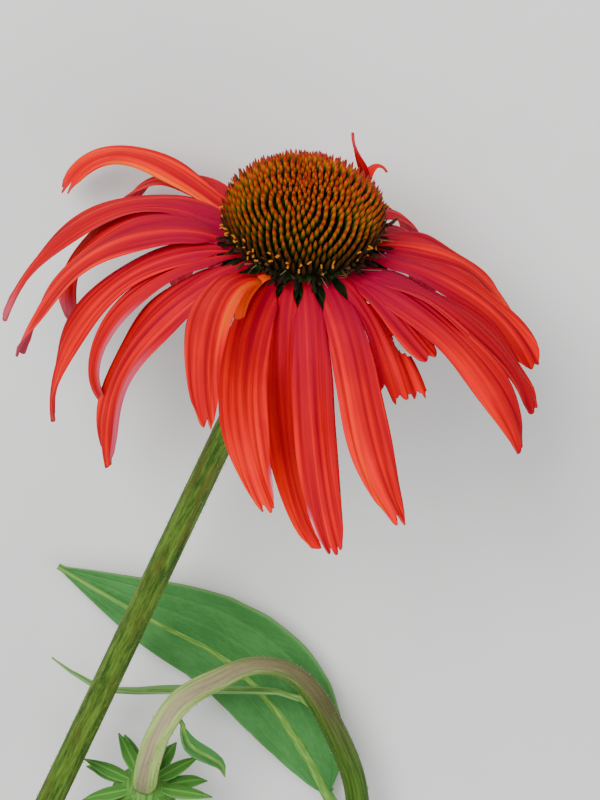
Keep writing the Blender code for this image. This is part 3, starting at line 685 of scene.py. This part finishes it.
def petal_look(bloom):
    """Red with orange ridges and darker grooves along it, partly own streaks and partly painted highlight
    and painted shade, a rosy root, a pale tip and a pink lower side.
    """
    look = Look("petal_skin")
    place = look.vector("place")
    warmth, rose, pale = look.parts(look.vector("blush"))
    (under,) = look.numbers("under")
    broad = look.noise(place, (560, 12, 60), 1.0)
    fine = look.noise(place, (2400, 40, 60), 1.5)
    cloud = look.noise(place, (110, 60, 60))
    veins = (look.parts(place)[0] * 4300.0 + broad * 7.0).math("SINE") * 0.5 + 0.5
    # The streaks share their noise with the relief, so the ridges are warmer and the grooves darker: partly
    # the petals' own colour, partly painted highlight and painted shade.
    streak = (broad - 0.5) * 2.4 + (fine - 0.5) * 0.9 + (cloud - 0.5) * 0.8 + (veins - 0.5) * 0.32
    heat = warmth * 0.24 + 0.50 + streak * 0.50
    upper = look.ramp(heat, (
        (0.0, bloom.groove), (0.30, bloom.crimson), (0.55, bloom.red), (0.80, bloom.warm),
        (1.0, bloom.orange),
    ))
    # Past the orange stop the colour goes on to a brighter orange, mostly on the short strip: its real
    # orange, raised as painted light because the strip lies in shade.
    upper = look.mix(heat.between(1.10, 1.35), upper, (1.0, 0.075, 0.0002))
    upper = look.mix(rose * (0.9 - streak * 0.5), upper, bloom.rose)
    lower = look.mix((broad * 0.6 + fine * 0.5).between(0.3, 0.8), bloom.pink, bloom.pink_deep)
    lower = look.mix(warmth.between(0.4, 0.9), lower, bloom.orange)
    colour = look.mix(under, upper, lower)
    tint = look.mix(pale.between(0.75, 1.0), (0.52, 0.075, 0.13), bloom.pale)
    colour = look.mix(pale.between(0.0, 0.7) * (0.55 + fine * 0.7), colour, tint)
    relief = fine * 0.6 + broad + veins * 0.35
    return look.finish(colour, 0.62 - (fine - 0.5) * 0.25, relief, 0.00035, 0.8, 0.05)


# The cone


def dome_place(angle):
    """Radius and height of the core at an angle from its top."""
    return CORE_RADIUS * np.sin(angle), CORE_HEIGHT * np.cos(angle)


def build_cone(cone):
    """The dark core, and over it the stiff spines in crossing spirals, which lean towards the top."""
    dome = np.stack(dome_place(np.linspace(CORE_EDGE, 0, 24)), 1)
    profile = np.vstack([[(0, CORE_BASE), (CORE_BASE_RADIUS, CORE_BASE)], dome])
    core = add_turned(Shape(), profile, 64, HEAD)
    core.made("cone_core", core_look(), "cone_green_orange", "cone", weld=True)

    seeded = np.random.default_rng(4)
    number = np.arange(cone.spine_count)
    share = (number + 0.5) / cone.spine_count
    angle = np.arccos(1 - share**1.25 * (1 - np.cos(LOWEST_SPINE)))
    radius, height = dome_place(angle)
    outward = level_direction(number * GOLDEN_ANGLE)
    roots = outward * radius[:, None] + height[:, None] * UP
    slope = outward * (np.sin(angle) / CORE_RADIUS)[:, None] + (np.cos(angle) / CORE_HEIGHT)[:, None] * UP
    lean = 0.35 + 0.95 * ease(0.2, 0.9, share)[:, None]
    directions = unit(unit(slope) + lean * UP + seeded.normal(0, 0.04, roots.shape))
    grown = 0.55 + 0.45 * ease(0.0, 0.3, share) + 0.4 * ease(0.3, 0.8, share)
    lengths = cone.spine_length * grown * seeded.uniform(0.92, 1.08, len(share)) + SPINE_SUNK
    widths = cone.spine_width * (0.70 + 0.30 * ease(0.0, 0.3, share))
    values = {"age": share, "own": seeded.uniform(0, 1, len(share))}
    spines = add_prongs(Shape(), roots - directions * SPINE_SUNK, directions, lengths, widths,
                        SPINE_PROFILE, 7, 0.2 * UP - 0.03 * outward, values, HEAD)
    return spines.made("cone_spines", spine_look(cone), "cone_green_orange", "cone")


def core_look():
    """Dark green chaff between the spines."""
    look = Look("cone_core_chaff")
    speck = look.noise(look.vector("place"), (900, 900, 900))
    colour = look.mix(speck.between(0.45, 0.7), (0.002, 0.003, 0.001), (0.010, 0.016, 0.003))
    return look.finish(colour, 0.9, speck, 0.0006, 1.0, 0.05)


def spine_look(cone):
    """Olive green at the root, orange along the spine and red at its point, redder near the top."""
    look = Look("cone_spine_skin")
    share, age, own = look.numbers("share", "age", "own")
    top = 1 - age.between(0.0, 0.5)
    where = share + (own - 0.5) * 0.10 + top * 0.13
    colour = look.ramp(where, (
        (0.0, (0.003, 0.006, 0.001)), (0.36, (0.010, 0.020, 0.001)), (0.54, cone.green),
        (0.68, (0.20, 0.115, 0.002)), (0.80, cone.orange), (0.90, (0.40, 0.022, 0.002)), (1.0, cone.tip),
    ))
    middle = where.between(0.55, 0.7) * (1 - where.between(0.86, 0.92))
    colour = look.mix(top * middle * 0.5, colour, (0.62, 0.15, 0.002))
    colour = look.mix(top * (1 - where.between(0.3, 0.55)) * 0.6, colour, (0.04, 0.075, 0.002))
    colour = look.mix(age.between(0.52, 0.95) * 0.92, colour, (0.012, 0.009, 0.002))
    return look.finish(colour, 0.5, shine=0.2)


def build_florets(cone):
    """Old florets under the spines: withered tubes, a few pale hairs and pollen bits on their mouths. Each
    one stands on the cone's flank, with its direction, bend and size drawn one by one."""
    seeded = np.random.default_rng(11)

    def drawn(count):
        return {"own": seeded.uniform(0, 1, count)}

    count = cone.floret_count
    outward = level_direction(seeded.uniform(0, 2 * pi, count))
    level = seeded.uniform(0, 1, count)[:, None]
    roots = outward * (0.0112 - 0.0022 * level) + (-0.0002 - 0.0040 * level) * UP
    directions = unit(outward + seeded.normal(0, 0.35, (count, 3)) + (0.15 - 0.30 * level) * UP)
    bend = seeded.uniform(-0.5, 0.7, count)[:, None] * UP + seeded.normal(0, 0.25, (count, 3))
    lengths, widths = seeded.uniform(0.0028, 0.0052, count), seeded.uniform(0.0004, 0.0009, count)
    tubes = add_prongs(Shape(), roots, directions, lengths, widths, FLORET_PROFILE, 5, bend,
                       drawn(count), HEAD)
    tubes.made("old_florets", floret_look(), "cone_green_orange", "cone")

    count = FLORET_HAIRS
    outward = level_direction(seeded.uniform(0, 2 * pi, count))
    roots = outward * 0.0125 + seeded.uniform(-0.0042, -0.0005, count)[:, None] * UP
    directions = unit(outward + seeded.normal(0, 0.5, (count, 3)))
    bend = seeded.normal(0, 0.7, (count, 3))
    lengths = seeded.uniform(0.0010, 0.0022, count)
    hairs = add_prongs(Shape(), roots, directions, lengths, FLORET_HAIR_WIDTH, FLORET_HAIR_PROFILE, 4, bend,
                       drawn(count), HEAD)
    straw = grain_look("floret_hair_skin", (0.12, 0.05, 0.025), (0.30, 0.26, 0.14), 0.7, 0.1)
    hairs.made("floret_hairs", straw, "cone_green_orange", "cone")

    count = cone.pollen_count
    outward = level_direction(seeded.uniform(0, 2 * pi, count))
    level = seeded.uniform(0, 1, count)[:, None]
    roots = outward * (0.0158 - 0.0008 * level) + (0.0040 - 0.0044 * level) * UP
    directions = unit(outward + seeded.normal(0, 0.8, (count, 3)))
    lengths, widths = seeded.uniform(0.0004, 0.0009, count), seeded.uniform(0.0003, 0.0006, count)
    bits = add_prongs(Shape(), roots, directions, lengths, widths, POLLEN_PROFILE, 5, 0.3 * directions,
                      drawn(count), HEAD)
    dust = grain_look("pollen_skin", cone.pollen, (0.40, 0.12, 0.006), 0.8, 0.1)
    return bits.made("pollen_bits", dust, "cone_green_orange", "cone")


def floret_look():
    """Withered, from black-brown to dull purple."""
    look = Look("old_floret_skin")
    own, share = look.numbers("own", "share")
    colour = look.ramp(own * 0.75 + share * 0.25, (
        (0.0, (0.003, 0.004, 0.001)), (0.55, (0.008, 0.007, 0.002)), (0.8, (0.030, 0.012, 0.006)),
        (1.0, (0.10, 0.045, 0.016)),
    ))
    return look.finish(colour, 0.8, shine=0.1)


def grain_look(name, first, second, roughness=0.6, shine=0.3):
    """One colour for each hair or grain, drawn between two."""
    look = Look(name)
    (own,) = look.numbers("own")
    return look.finish(look.mix(own, first, second), roughness, shine=shine)


# Bracts and the cup


def blade_surface(route, width, left, fold, upward, rows, columns):
    """A lance-shaped blade: half width = sin(pi share^0.75)^0.9 of the width, folded along its midrib, with
    a gently waved surface. The left half is that share as wide as the right one."""
    centre = spaced(route, rows)
    along = np.linspace(0, 1, rows)
    across = np.linspace(-1, 1, columns)
    ahead = unit(np.gradient(centre, axis=0))
    side = unit(np.cross(ahead, upward))
    face = np.cross(side, ahead)
    outline = np.sin(pi * np.clip(along, 0.01, 0.982) ** 0.75) ** 0.9
    half = width / 2 * outline[:, None] * np.where(across < 0, left, 1)
    wave = 0.06 * np.sin(2 * pi * 2.5 * along)[:, None]
    lift = fold * half * np.abs(across) ** 1.3 + wave * half * across
    points = centre[:, None] + side[:, None] * (half * across)[..., None] + face[:, None] * lift[..., None]
    reached = (along * travelled(centre)[-1])[:, None] + 0 * half
    return points, face, np.stack([half * across, reached, across + 0 * half], -1)


def add_bracts(shape, rows, place, seeded):
    """Rows of narrow pointed bracts round a cup, each bent from its root outwards and down."""
    for row, (count, radius, height, reach, drop, width) in enumerate(rows):
        for number in range(count):
            outward = level_direction(2 * pi * (number + 0.5 * row) / count)
            root = outward * radius + height * UP
            middle = root + outward * 0.65 * reach - 0.3 * drop * UP
            tip = root + outward * reach * seeded.uniform(0.95, 1.12) - drop * seeded.uniform(0.9, 1.1) * UP
            route = smooth_route((root - outward * 0.001, middle, tip), 15)
            upward = outward + 0.6 * UP if drop > 0 else UP - 0.4 * outward
            points, _, spots = blade_surface(route, width, 1, BRACT_FOLD, upward, 15, 9)
            add_sheet(shape, placed(points, place), BRACT_THICKNESS, {"place": spots})
    return shape


def build_cup():
    """The green cup behind the petals: a turned body, the petals' ring and rows of bracts."""
    seeded = np.random.default_rng(8)
    cup = add_turned(Shape(), CUP_PROFILE, 40, HEAD)
    add_turned(cup, RING_PROFILE, 40, HEAD)
    skin = green_look("cup_green", (0.012, 0.035, 0.003), (0.03, 0.075, 0.008))
    cup.made("cup", skin, "bract_green", "involucre", weld=True)
    bracts = add_bracts(Shape(), CUP_BRACTS + FRINGE_BRACTS, HEAD, seeded)
    # The cup's bracts are near black: painted shade for the deep gaps between the petals' roots.
    skin = green_look("cup_bract_painted_shade", (0.004, 0.009, 0.001), (0.012, 0.026, 0.003))
    return bracts.made("cup_bracts", skin, "bract_green", "involucre")


def green_look(name, dark, light, edged=False):
    """A plain green skin with long streaks; an edged one is paler along its rim and its middle."""
    look = Look(name)
    place = look.vector("place")
    streak = look.noise(place, (2200, 250, 250), 2.0)
    colour = look.mix(streak.between(0.35, 0.7), dark, light)
    if edged:
        beside = look.parts(place)[2].math("ABSOLUTE")
        colour = look.mix(beside.between(0.7, 1.0) * 0.55, colour, (0.20, 0.46, 0.11))
        colour = look.mix((1 - beside.between(0.05, 0.22)) * 0.5, colour, (0.18, 0.44, 0.08))
    return look.finish(colour, 0.6, streak, 0.0002, 0.5, 0.15)


# The main stem and the side shoot


def stem_route():
    """The neck that curves away from the head, and the straight stem down to its cut end."""
    turn, centre = HEAD
    axis = turn[:, 2]
    level = -np.array((np.sin(STEM_HEADING), np.cos(STEM_HEADING), 0.0)) * np.cos(STEM_SLOPE)
    run = level - np.sin(STEM_SLOPE) * UP
    start = from_head(STEM_START)
    share = np.linspace(0, 1, 60)[:, None] ** 1.5
    neck = blend(centre - axis * NECK_TOP, centre - axis * NECK_BEND, start + run * NECK_END, share)
    reach = np.linspace(NECK_END, STEM_LENGTH, 8)[1:, None]
    return np.vstack([neck, start + run * reach])


def stem_relief(stations, sides, ridges, seeded):
    """Long shallow ridges that wander a little round the stem, as parts of the radius."""
    share = np.linspace(0, 1, stations)[:, None]
    relief = np.zeros((stations, sides))
    for order, depth in ridges:
        start, waves, shift = seeded.uniform(0, 2 * pi), seeded.uniform(1, 3), seeded.uniform(0, 6)
        drift = start + 0.6 * np.sin(2 * pi * share * waves + shift)
        relief += depth * np.cos(order * round_angles(sides) + drift)
    return relief


def add_hairs(shape, route, radii, seeded, count, first, forward, lean, longest, width):
    """Short stiff hairs on a stem from its station first on, clear of the floor. They lean and bend towards
    the stem's last station where forward is 1, and away from it where it is -1."""
    ahead, side, above = line_frames(route)
    at = seeded.integers(first, len(route) - 2, count)
    angle = seeded.uniform(0, 2 * pi, count)[:, None]
    outward = np.cos(angle) * side[at] + np.sin(angle) * above[at]
    scatter = seeded.uniform(-HAIR_SCATTER, HAIR_SCATTER, count)[:, None]
    roots = route[at] + outward * (radii[at] * HAIR_ROOT)[:, None] + ahead[at] * scatter
    leaning = forward * ahead[at] * seeded.uniform(*lean, count)[:, None]
    directions = unit(outward + leaning + seeded.normal(0, 0.15, (count, 3)))
    lengths, own = seeded.uniform(SHORTEST_HAIR, longest, count), seeded.uniform(0, 1, count)
    clear = roots[:, 2] > HAIR_CLEARANCE
    return add_prongs(shape, roots[clear], directions[clear], lengths[clear], width, HAIR_PROFILE, 4,
                      HAIR_BEND * forward * ahead[at][clear], {"own": own[clear]})


def build_stem(green):
    """The straight ridged stem with its pale cut end, and the short stiff hairs on it."""
    seeded = np.random.default_rng(21)
    stations, sides = 300, 56
    route = spaced(stem_route(), stations)
    share = np.linspace(0, 1, stations)
    radii = STEM_RADII[0] + (STEM_RADII[1] - STEM_RADII[0]) * share + SWELLING * bell(0, 0.03, share)
    relief = stem_relief(stations, sides, ((7, 0.012), (13, 0.012), (19, 0.008)), seeded)
    stem = add_tube(Shape(), route, radii, relief, (0.96, 0.86, 0.72, 0.5, 0.25, 0.0)).laid_down()
    stem.made("stem", stem_look(green), "stem_green", "main_stem", weld=True)
    hairs = add_hairs(Shape(), route, radii, seeded, green.hair_count, 6, -1, (-0.1, 0.7), 0.0008, 0.00010)
    pale = grain_look("hair_pale", *HAIR_COLOURS)
    return hairs.made("stem_hairs", pale, "stem_green", "main_stem")


def stem_look(green):
    """Olive and brown-green mottling drawn out along the stem, with a pale pith in the cut end."""
    look = Look("stem_skin")
    place = look.vector("place")
    (rim,) = look.numbers("rim")
    long = look.noise(place, (900, 900, 110), 4.0, 0.65)
    fine = look.noise(place, (2600, 2600, 420))
    patch = look.noise(place, (420, 420, 70))
    colour = look.mix((long * 0.6 + fine * 0.4).between(0.36, 0.66), green.dark, green.light)
    colour = look.mix(patch.between(0.48, 0.68) * 0.7, colour, green.brown)
    cut = look.mix(rim.between(0.70, 0.84), (0.56, 0.60, 0.36), (0.20, 0.34, 0.08))
    colour = look.mix(1 - rim.between(0.90, 0.99), colour, cut)
    return look.finish(colour, 0.6, long + fine * 0.5, 0.0003, 0.6, 0.2)


def build_shoot(green):
    """The thinner arching side shoot with its waist below the bud, and the short stiff hairs on it."""
    seeded = np.random.default_rng(33)
    stations, sides = 240, 40
    route = smooth_route(from_head(SHOOT_ROUTE), stations)
    share = np.linspace(0, 1, stations)
    place, spread, depth = SHOOT_WAIST
    radii = SHOOT_RADII[0] + (SHOOT_RADII[1] - SHOOT_RADII[0]) * share + SWELLING * bell(0, 0.05, share)
    radii = radii - depth * bell(place, spread, share)
    relief = stem_relief(stations, sides, ((5, 0.02), (9, 0.015), (15, 0.008)), seeded)
    shoot = add_tube(Shape(), route, radii, relief)
    shoot.made("shoot", shoot_look(), "shoot_green", "side_shoot", weld=True)
    hairs = add_hairs(Shape(), route, radii, seeded, green.hair_count, 90, 1, (-0.2, 0.5), 0.0007, 0.00008)
    pale = grain_look("shoot_hair_pale", *HAIR_COLOURS)
    return hairs.made("shoot_hairs", pale, "shoot_green", "side_shoot")


def shoot_look():
    """Dark olive at the root and cream green near the bud, with a brown to greyish pink stripe on the outer
    side of the arch."""
    look = Look("shoot_skin")
    place = look.vector("place")
    across, height, reached = look.parts(place)
    wander = look.noise(place, (500, 500, 60))
    line = look.noise(place, (2200, 2200, 110), 2.0)
    young = reached.between(0.125, 0.175)
    upper = across * 420.0 + height * 160.0 + (wander - 0.5) * 0.9 + 0.15
    stripe = reached.between(0.110, 0.136) * upper.between(0.0, 0.55)
    edge = 1 - young * (across * 420.0 + (wander - 0.5) * 0.5).between(0.45, 1.0)
    old = look.mix(line.between(0.35, 0.65), (0.020, 0.060, 0.002), (0.060, 0.125, 0.008))
    fresh = look.mix(line.between(0.3, 0.7), (0.22, 0.38, 0.06), (0.46, 0.58, 0.19))
    brown = look.mix(line, (0.045, 0.032, 0.012), (0.12, 0.085, 0.035))
    greyish = look.mix(line, (0.22, 0.155, 0.10), (0.34, 0.26, 0.18))
    colour = look.mix(stripe * edge * 0.85, look.mix(young, old, fresh), look.mix(young, brown, greyish))
    return look.finish(colour, 0.6, line, 0.0002, 0.5, 0.2)


# The bud and the leaves


def bud_place():
    """Turn and place of the bud, whose own Z looks the way the shoot runs out."""
    route = smooth_route(from_head(SHOOT_ROUTE), 34)
    ahead = Vector(route[-1] - route[-2]).normalized()
    turn = np.array(ahead.to_track_quat("Z", "Y").to_matrix())
    return turn, route[-1] + np.array(ahead) * BUD_OFFSET


def build_bud():
    """The nodding bud: a green cup, a star of lance bracts and a button of short points."""
    seeded = np.random.default_rng(5)
    place = bud_place()
    cup = add_turned(Shape(), BUD_PROFILE, 36, place)
    skin = green_look("bud_cup_green", (0.05, 0.16, 0.02), (0.12, 0.28, 0.05))
    cup.made("bud_cup", skin, "bud_green", "bud_bracts", weld=True)
    skin = green_look("bud_bract_green", (0.030, 0.13, 0.014), (0.09, 0.28, 0.04), edged=True)
    add_bracts(Shape(), BUD_BRACTS, place, seeded).made("bud_star", skin, "bud_green", "bud_bracts")

    angles = np.radians(np.linspace(90, 0, 14))
    dome = np.stack([BUTTON_RADIUS * np.sin(angles), BUTTON_HEIGHT * np.cos(angles)], 1)
    profile = np.vstack([[(0, BUTTON_FOOT), (BUTTON_RADIUS, BUTTON_FOOT)], dome[1:]])
    button = add_turned(Shape(), profile, 40, place)
    skin = green_look("button_core_green", (0.05, 0.11, 0.02), (0.12, 0.22, 0.05))
    button.made("bud_button_core", skin, "button_green", "bud_button", weld=True)

    number = np.arange(BUTTON_POINTS)
    share = (number + 0.5) / BUTTON_POINTS
    outward = level_direction(number * GOLDEN_ANGLE)
    height = BUTTON_HEIGHT * np.sqrt(1 - 0.9 * share) - BUTTON_SUNK
    roots = outward * (0.96 * BUTTON_RADIUS * np.sqrt(share))[:, None] + height[:, None] * UP
    directions = unit(outward * share[:, None] + UP)
    points = add_prongs(Shape(), roots, directions, 0.0022, 0.0009, SPINE_PROFILE, 6, 0 * roots, {}, place)
    look = Look("button_point_green")
    (along,) = look.numbers("share")
    colour = look.ramp(along, (
        (0.0, (0.05, 0.11, 0.02)), (0.6, (0.20, 0.34, 0.06)), (1.0, (0.50, 0.56, 0.18)),
    ))
    return points.made("bud_points", look.finish(colour, 0.55), "button_green", "bud_button")


def build_leaves(green):
    """All the leaves: a folded blade with sunken nerves, and the stalk that runs on under it as a midrib."""
    for name, leaf in LEAVES.items():
        midrib = smooth_route(from_head(leaf.route), 14)
        points, face, place = blade_surface(
            midrib[2:], leaf.width, leaf.left, LEAF_FOLD, leaf.upward, 130, 33)
        aside, _, across = np.moveaxis(place, -1, 0)
        nerves = sum(bell(spot, NERVE_WIDTH, np.abs(across)) for spot in NERVE_SPOTS)
        broad = ease(0.0, 0.004, leaf.width / 2 - 0.0030)
        sunk = nerves * NERVE_DEPTH * broad + bell(0, MIDRIB_HALF, aside) * MIDRIB_DEPTH
        points = points - face[:, None] * sunk[..., None]
        # The columns are turned round, so that the blade's upper side is its first one.
        blade = add_sheet(Shape(), points[:, ::-1], BLADE_THICKNESS, {"place": place[:, ::-1]})
        blade.made(name + "_blade", leaf_look(name, green), leaf.slot, name)
        line = spaced(midrib[:-1] - STALK_DROP * UP, 80)
        share = np.linspace(0, 1, 80)
        radii = np.linspace(0.9 * leaf.stalk[0], 0.55 * leaf.stalk[1], 80) * np.sqrt(1 - 0.97 * share**6)
        stalk = add_tube(Shape(), line, radii, np.zeros((80, 16)))
        skin = green_look(name + "_stalk_green", (0.09, 0.22, 0.035), (0.20, 0.38, 0.07))
        stalk.made(name + "_stalk", skin, leaf.slot, name, weld=True)


def leaf_look(name, green):
    """Mid green, paler along the midrib and the nerves, paler at the edge partly as painted sheen, and paler
    and duller underneath.
    """
    look = Look(name + "_skin")
    place = look.vector("place")
    (under,) = look.numbers("under")
    aside, _, across = look.parts(place)
    beside = across.math("ABSOLUTE")
    inner, outer = [(beside - spot).math("ABSOLUTE").between(0.01, 0.05) for spot in NERVE_SPOTS]
    nerve = 1 - inner * outer
    midrib = 1 - aside.math("ABSOLUTE").between(0.0002, 0.0007)
    mottle = look.noise(place, (200, 90, 0), 4.0)
    fine = look.noise(place, (1500, 700, 0), 2.0)
    colour = look.mix((mottle * 0.75 + fine * 0.25).between(0.35, 0.65), green.leaf_dark, green.leaf_light)
    if name == "narrow_leaf":
        colour = look.mix(0.6, colour, (0.26, 0.50, 0.18))
    colour = look.mix(nerve * 0.2, colour, (0.10, 0.26, 0.07))
    # Paler towards the edge: partly the paler underside showing where the edge turns, partly painted sheen.
    colour = look.mix(beside.between(0.93, 1.0) * 0.4, colour, (0.16, 0.30, 0.09))
    colour = look.mix(midrib * 0.8, colour, (0.20, 0.36, 0.07))
    colour = look.mix(under * 0.45, colour, (0.16, 0.28, 0.10))
    return look.finish(colour, 0.6 + (fine - 0.5) * 0.2, fine - nerve * 0.5, 0.0003, 0.6, 0.12)


# The stage


def build_stage(stage):
    """The pale plain floor, soft lights, and the camera at the photograph's viewing angle."""
    link = bpy.context.scene.collection.objects.link
    reach = stage.floor_reach
    mesh = bpy.data.meshes.new("floor")
    corners = [(-reach, -reach, 0), (reach, -reach, 0), (reach, reach, 0), (-reach, reach, 0)]
    mesh.from_pydata(corners, [], [(0, 1, 2, 3)])
    floor = bpy.data.objects.new("floor", mesh)
    link(floor)
    look = Look("floor_pale")
    grain = look.noise(look.add("ShaderNodeTexCoord", output="Object"), (60, 60, 60), 2.0)
    mesh.materials.append(look.finish(look.mix(grain, stage.floor_colour, (0.70, 0.70, 0.68)), 0.8))

    world = bpy.data.worlds.new("soft_studio")
    world.use_nodes = True
    sky = world.node_tree.nodes["Background"]
    sky.inputs["Color"].default_value = (0.92, 0.96, 1.0, 1)
    sky.inputs["Strength"].default_value = stage.sky_strength
    bpy.context.scene.world = world
    for (name, place, size), power in zip(LIGHTS, (stage.key_power, stage.fill_power)):
        light = bpy.data.lights.new(name, "AREA")
        light.shape = "DISK"
        light.size = size
        light.energy = power
        lamp = bpy.data.objects.new(name, light)
        lamp.location = place
        lamp.rotation_euler = (Vector(place) - LIGHTS_AIM).to_track_quat("Z", "Y").to_euler()
        link(lamp)

    towards = Vector((0, np.sin(CAMERA_TILT), np.cos(CAMERA_TILT)))
    upwards = Vector((0, np.cos(CAMERA_TILT), -np.sin(CAMERA_TILT)))
    aside = Vector((CAMERA_ASIDE, 0, 0))
    lens = bpy.data.cameras.new("camera")
    lens.lens = CAMERA_LENS
    lens.sensor_width = 36
    lens.clip_start = 0.01
    camera = bpy.data.objects.new("camera", lens)
    camera.location = Vector(HEAD_CENTRE) + towards * CAMERA_DISTANCE + aside + upwards * CAMERA_BELOW
    camera.rotation_euler = (-CAMERA_TILT, 0, 0)
    link(camera)
    bpy.context.scene.camera = camera


# Settings, operators and panel


def colour_field(name, description, default):
    return FloatVectorProperty(
        name=name, description=description, default=default, subtype="COLOR", min=0, max=1)


def length_field(name, description, default):
    return FloatProperty(name=name, description=description, default=default, unit="LENGTH")


def power_field(name, description, default):
    return FloatProperty(name=name, description=description, default=default, unit="POWER")


def count_field(name, description, default, least, most):
    return IntProperty(name=name, description=description, default=default, min=least, max=most)


class BloomSettings(bpy.types.PropertyGroup):
    petal_thickness: length_field("Petal thickness", "Thickness of a petal at its middle", 0.00035)
    red: colour_field("Red", "Main colour of the petals", (0.5, 0.001, 0.005))
    # Warm red and orange lie on the ridges, crimson and groove in the grooves: partly the petals' own
    # streaks, partly painted highlight and painted shade.
    warm: colour_field("Warm red", "Ridges of the petals", (0.84, 0.002, 0.0012))
    orange: colour_field("Orange", "Brightest streaks", (0.74, 0.07, 0.0001))
    crimson: colour_field("Crimson", "Shaded streaks of the petals", (0.35, 0.0006, 0.0095))
    groove: colour_field("Groove", "Darkest grooves along the petals", (0.185, 0.0003, 0.007))
    rose: colour_field("Rose", "Roots of the petals", (0.32, 0.0008, 0.032))
    pink: colour_field("Pink", "Lower side of the petals", (0.6, 0.045, 0.085))
    pink_deep: colour_field("Deep pink", "Grooves of the lower side", (0.42, 0.015, 0.04))
    pale: colour_field("Pale", "Dry tips and folded edges", (0.86, 0.3, 0.29))


class ConeSettings(bpy.types.PropertyGroup):
    spine_count: count_field("Spines", "Spines on the cone", 560, 50, 900)
    spine_length: length_field("Spine length", "How far a spine stands out", 0.0025)
    spine_width: length_field("Spine width", "Width of a spine near its root", 0.00092)
    floret_count: count_field("Old florets", "Withered florets under the spines", 420, 0, 900)
    pollen_count: count_field("Pollen bits", "Bits of pollen round the cone's foot", 80, 0, 300)
    green: colour_field("Green", "Lower half of the spines", (0.060, 0.075, 0.002))
    orange: colour_field("Orange", "Middle of the spines", (0.46, 0.11, 0.002))
    tip: colour_field("Tip", "Points of the spines", (0.26, 0.006, 0.002))
    pollen: colour_field("Pollen", "Pollen bits round the cone's foot", (0.44, 0.16, 0.006))


class GreenSettings(bpy.types.PropertyGroup):
    hair_count: count_field("Hairs", "Short hairs on each stem", 2200, 0, 6000)
    light: colour_field("Light green", "Light mottling of the stem", (0.098, 0.180, 0.017))
    dark: colour_field("Dark green", "Dark mottling of the stem", (0.015, 0.048, 0.001))
    brown: colour_field("Brown", "Brown flush of the stem", (0.075, 0.068, 0.005))
    leaf_dark: colour_field("Leaf dark", "Dark mottling of the leaves", (0.040, 0.160, 0.036))
    leaf_light: colour_field("Leaf light", "Light mottling of the leaves", (0.062, 0.215, 0.054))


class StageSettings(bpy.types.PropertyGroup):
    floor_reach: length_field("Floor", "Half the width of the floor", 3.0)
    floor_colour: colour_field("Floor colour", "Pale floor", (0.74, 0.74, 0.72))
    sky_strength: FloatProperty(
        name="Sky", description="Strength of the even light from all sides", default=0.66)
    key_power: power_field("Key light", "Power of the large soft light", 14.5)
    fill_power: power_field("Fill light", "Power of the light from the other side", 5.0)


class MakePetals(bpy.types.Operator):
    """Build the bloom's drooping petals"""
    bl_idname = "coneflower.petals"
    bl_label = "Petals"

    def execute(self, context):
        build_petals(context.scene.coneflower_bloom)
        return {"FINISHED"}


class MakeCone(bpy.types.Operator):
    """Build the domed cone with its spines"""
    bl_idname = "coneflower.cone"
    bl_label = "Cone"

    def execute(self, context):
        build_cone(context.scene.coneflower_cone)
        return {"FINISHED"}


class MakeFlorets(bpy.types.Operator):
    """Build the old florets, their hairs and the pollen bits under the spines"""
    bl_idname = "coneflower.florets"
    bl_label = "Old florets"

    def execute(self, context):
        build_florets(context.scene.coneflower_cone)
        return {"FINISHED"}


class MakeCup(bpy.types.Operator):
    """Build the green cup and bracts behind the petals"""
    bl_idname = "coneflower.cup"
    bl_label = "Cup and bracts"

    def execute(self, context):
        build_cup()
        return {"FINISHED"}


class MakeStem(bpy.types.Operator):
    """Build the main stem and its hairs"""
    bl_idname = "coneflower.stem"
    bl_label = "Stem"

    def execute(self, context):
        build_stem(context.scene.coneflower_green)
        return {"FINISHED"}


class MakeShoot(bpy.types.Operator):
    """Build the arching side shoot and its hairs"""
    bl_idname = "coneflower.shoot"
    bl_label = "Side shoot"

    def execute(self, context):
        build_shoot(context.scene.coneflower_green)
        return {"FINISHED"}


class MakeBud(bpy.types.Operator):
    """Build the nodding bud"""
    bl_idname = "coneflower.bud"
    bl_label = "Bud"

    def execute(self, context):
        build_bud()
        return {"FINISHED"}


class MakeLeaves(bpy.types.Operator):
    """Build the four leaves"""
    bl_idname = "coneflower.leaves"
    bl_label = "Leaves"

    def execute(self, context):
        build_leaves(context.scene.coneflower_green)
        return {"FINISHED"}


class MakeStage(bpy.types.Operator):
    """Build the floor, lights and camera"""
    bl_idname = "coneflower.stage"
    bl_label = "Stage"

    def execute(self, context):
        build_stage(context.scene.coneflower_stage)
        return {"FINISHED"}


class ConeflowerPanel(bpy.types.Panel):
    bl_idname = "VIEW3D_PT_coneflower"
    bl_label = "Coneflower stem"
    bl_space_type = "VIEW_3D"
    bl_region_type = "UI"
    bl_category = "Coneflower"

    def draw(self, context):
        for made in OPERATORS:
            self.layout.operator(made.bl_idname)
        for name, group in SETTINGS.items():
            box = self.layout.box()
            for field in group.__annotations__:
                box.prop(getattr(context.scene, name), field)


OPERATORS = (MakeStage, MakePetals, MakeCone, MakeFlorets, MakeCup, MakeStem, MakeShoot, MakeBud, MakeLeaves)
SETTINGS = {
    "coneflower_bloom": BloomSettings,
    "coneflower_cone": ConeSettings,
    "coneflower_green": GreenSettings,
    "coneflower_stage": StageSettings,
}


def register():
    for made in (*SETTINGS.values(), *OPERATORS, ConeflowerPanel):
        bpy.utils.register_class(made)
    for name, group in SETTINGS.items():
        setattr(bpy.types.Scene, name, PointerProperty(type=group))


def unregister():
    for name in SETTINGS:
        delattr(bpy.types.Scene, name)
    for made in (ConeflowerPanel, *reversed(OPERATORS), *reversed(SETTINGS.values())):
        bpy.utils.unregister_class(made)


def main():
    register()
    for made in OPERATORS:
        group, name = made.bl_idname.split(".")
        getattr(getattr(bpy.ops, group), name)()


if __name__ == "__main__":
    main()
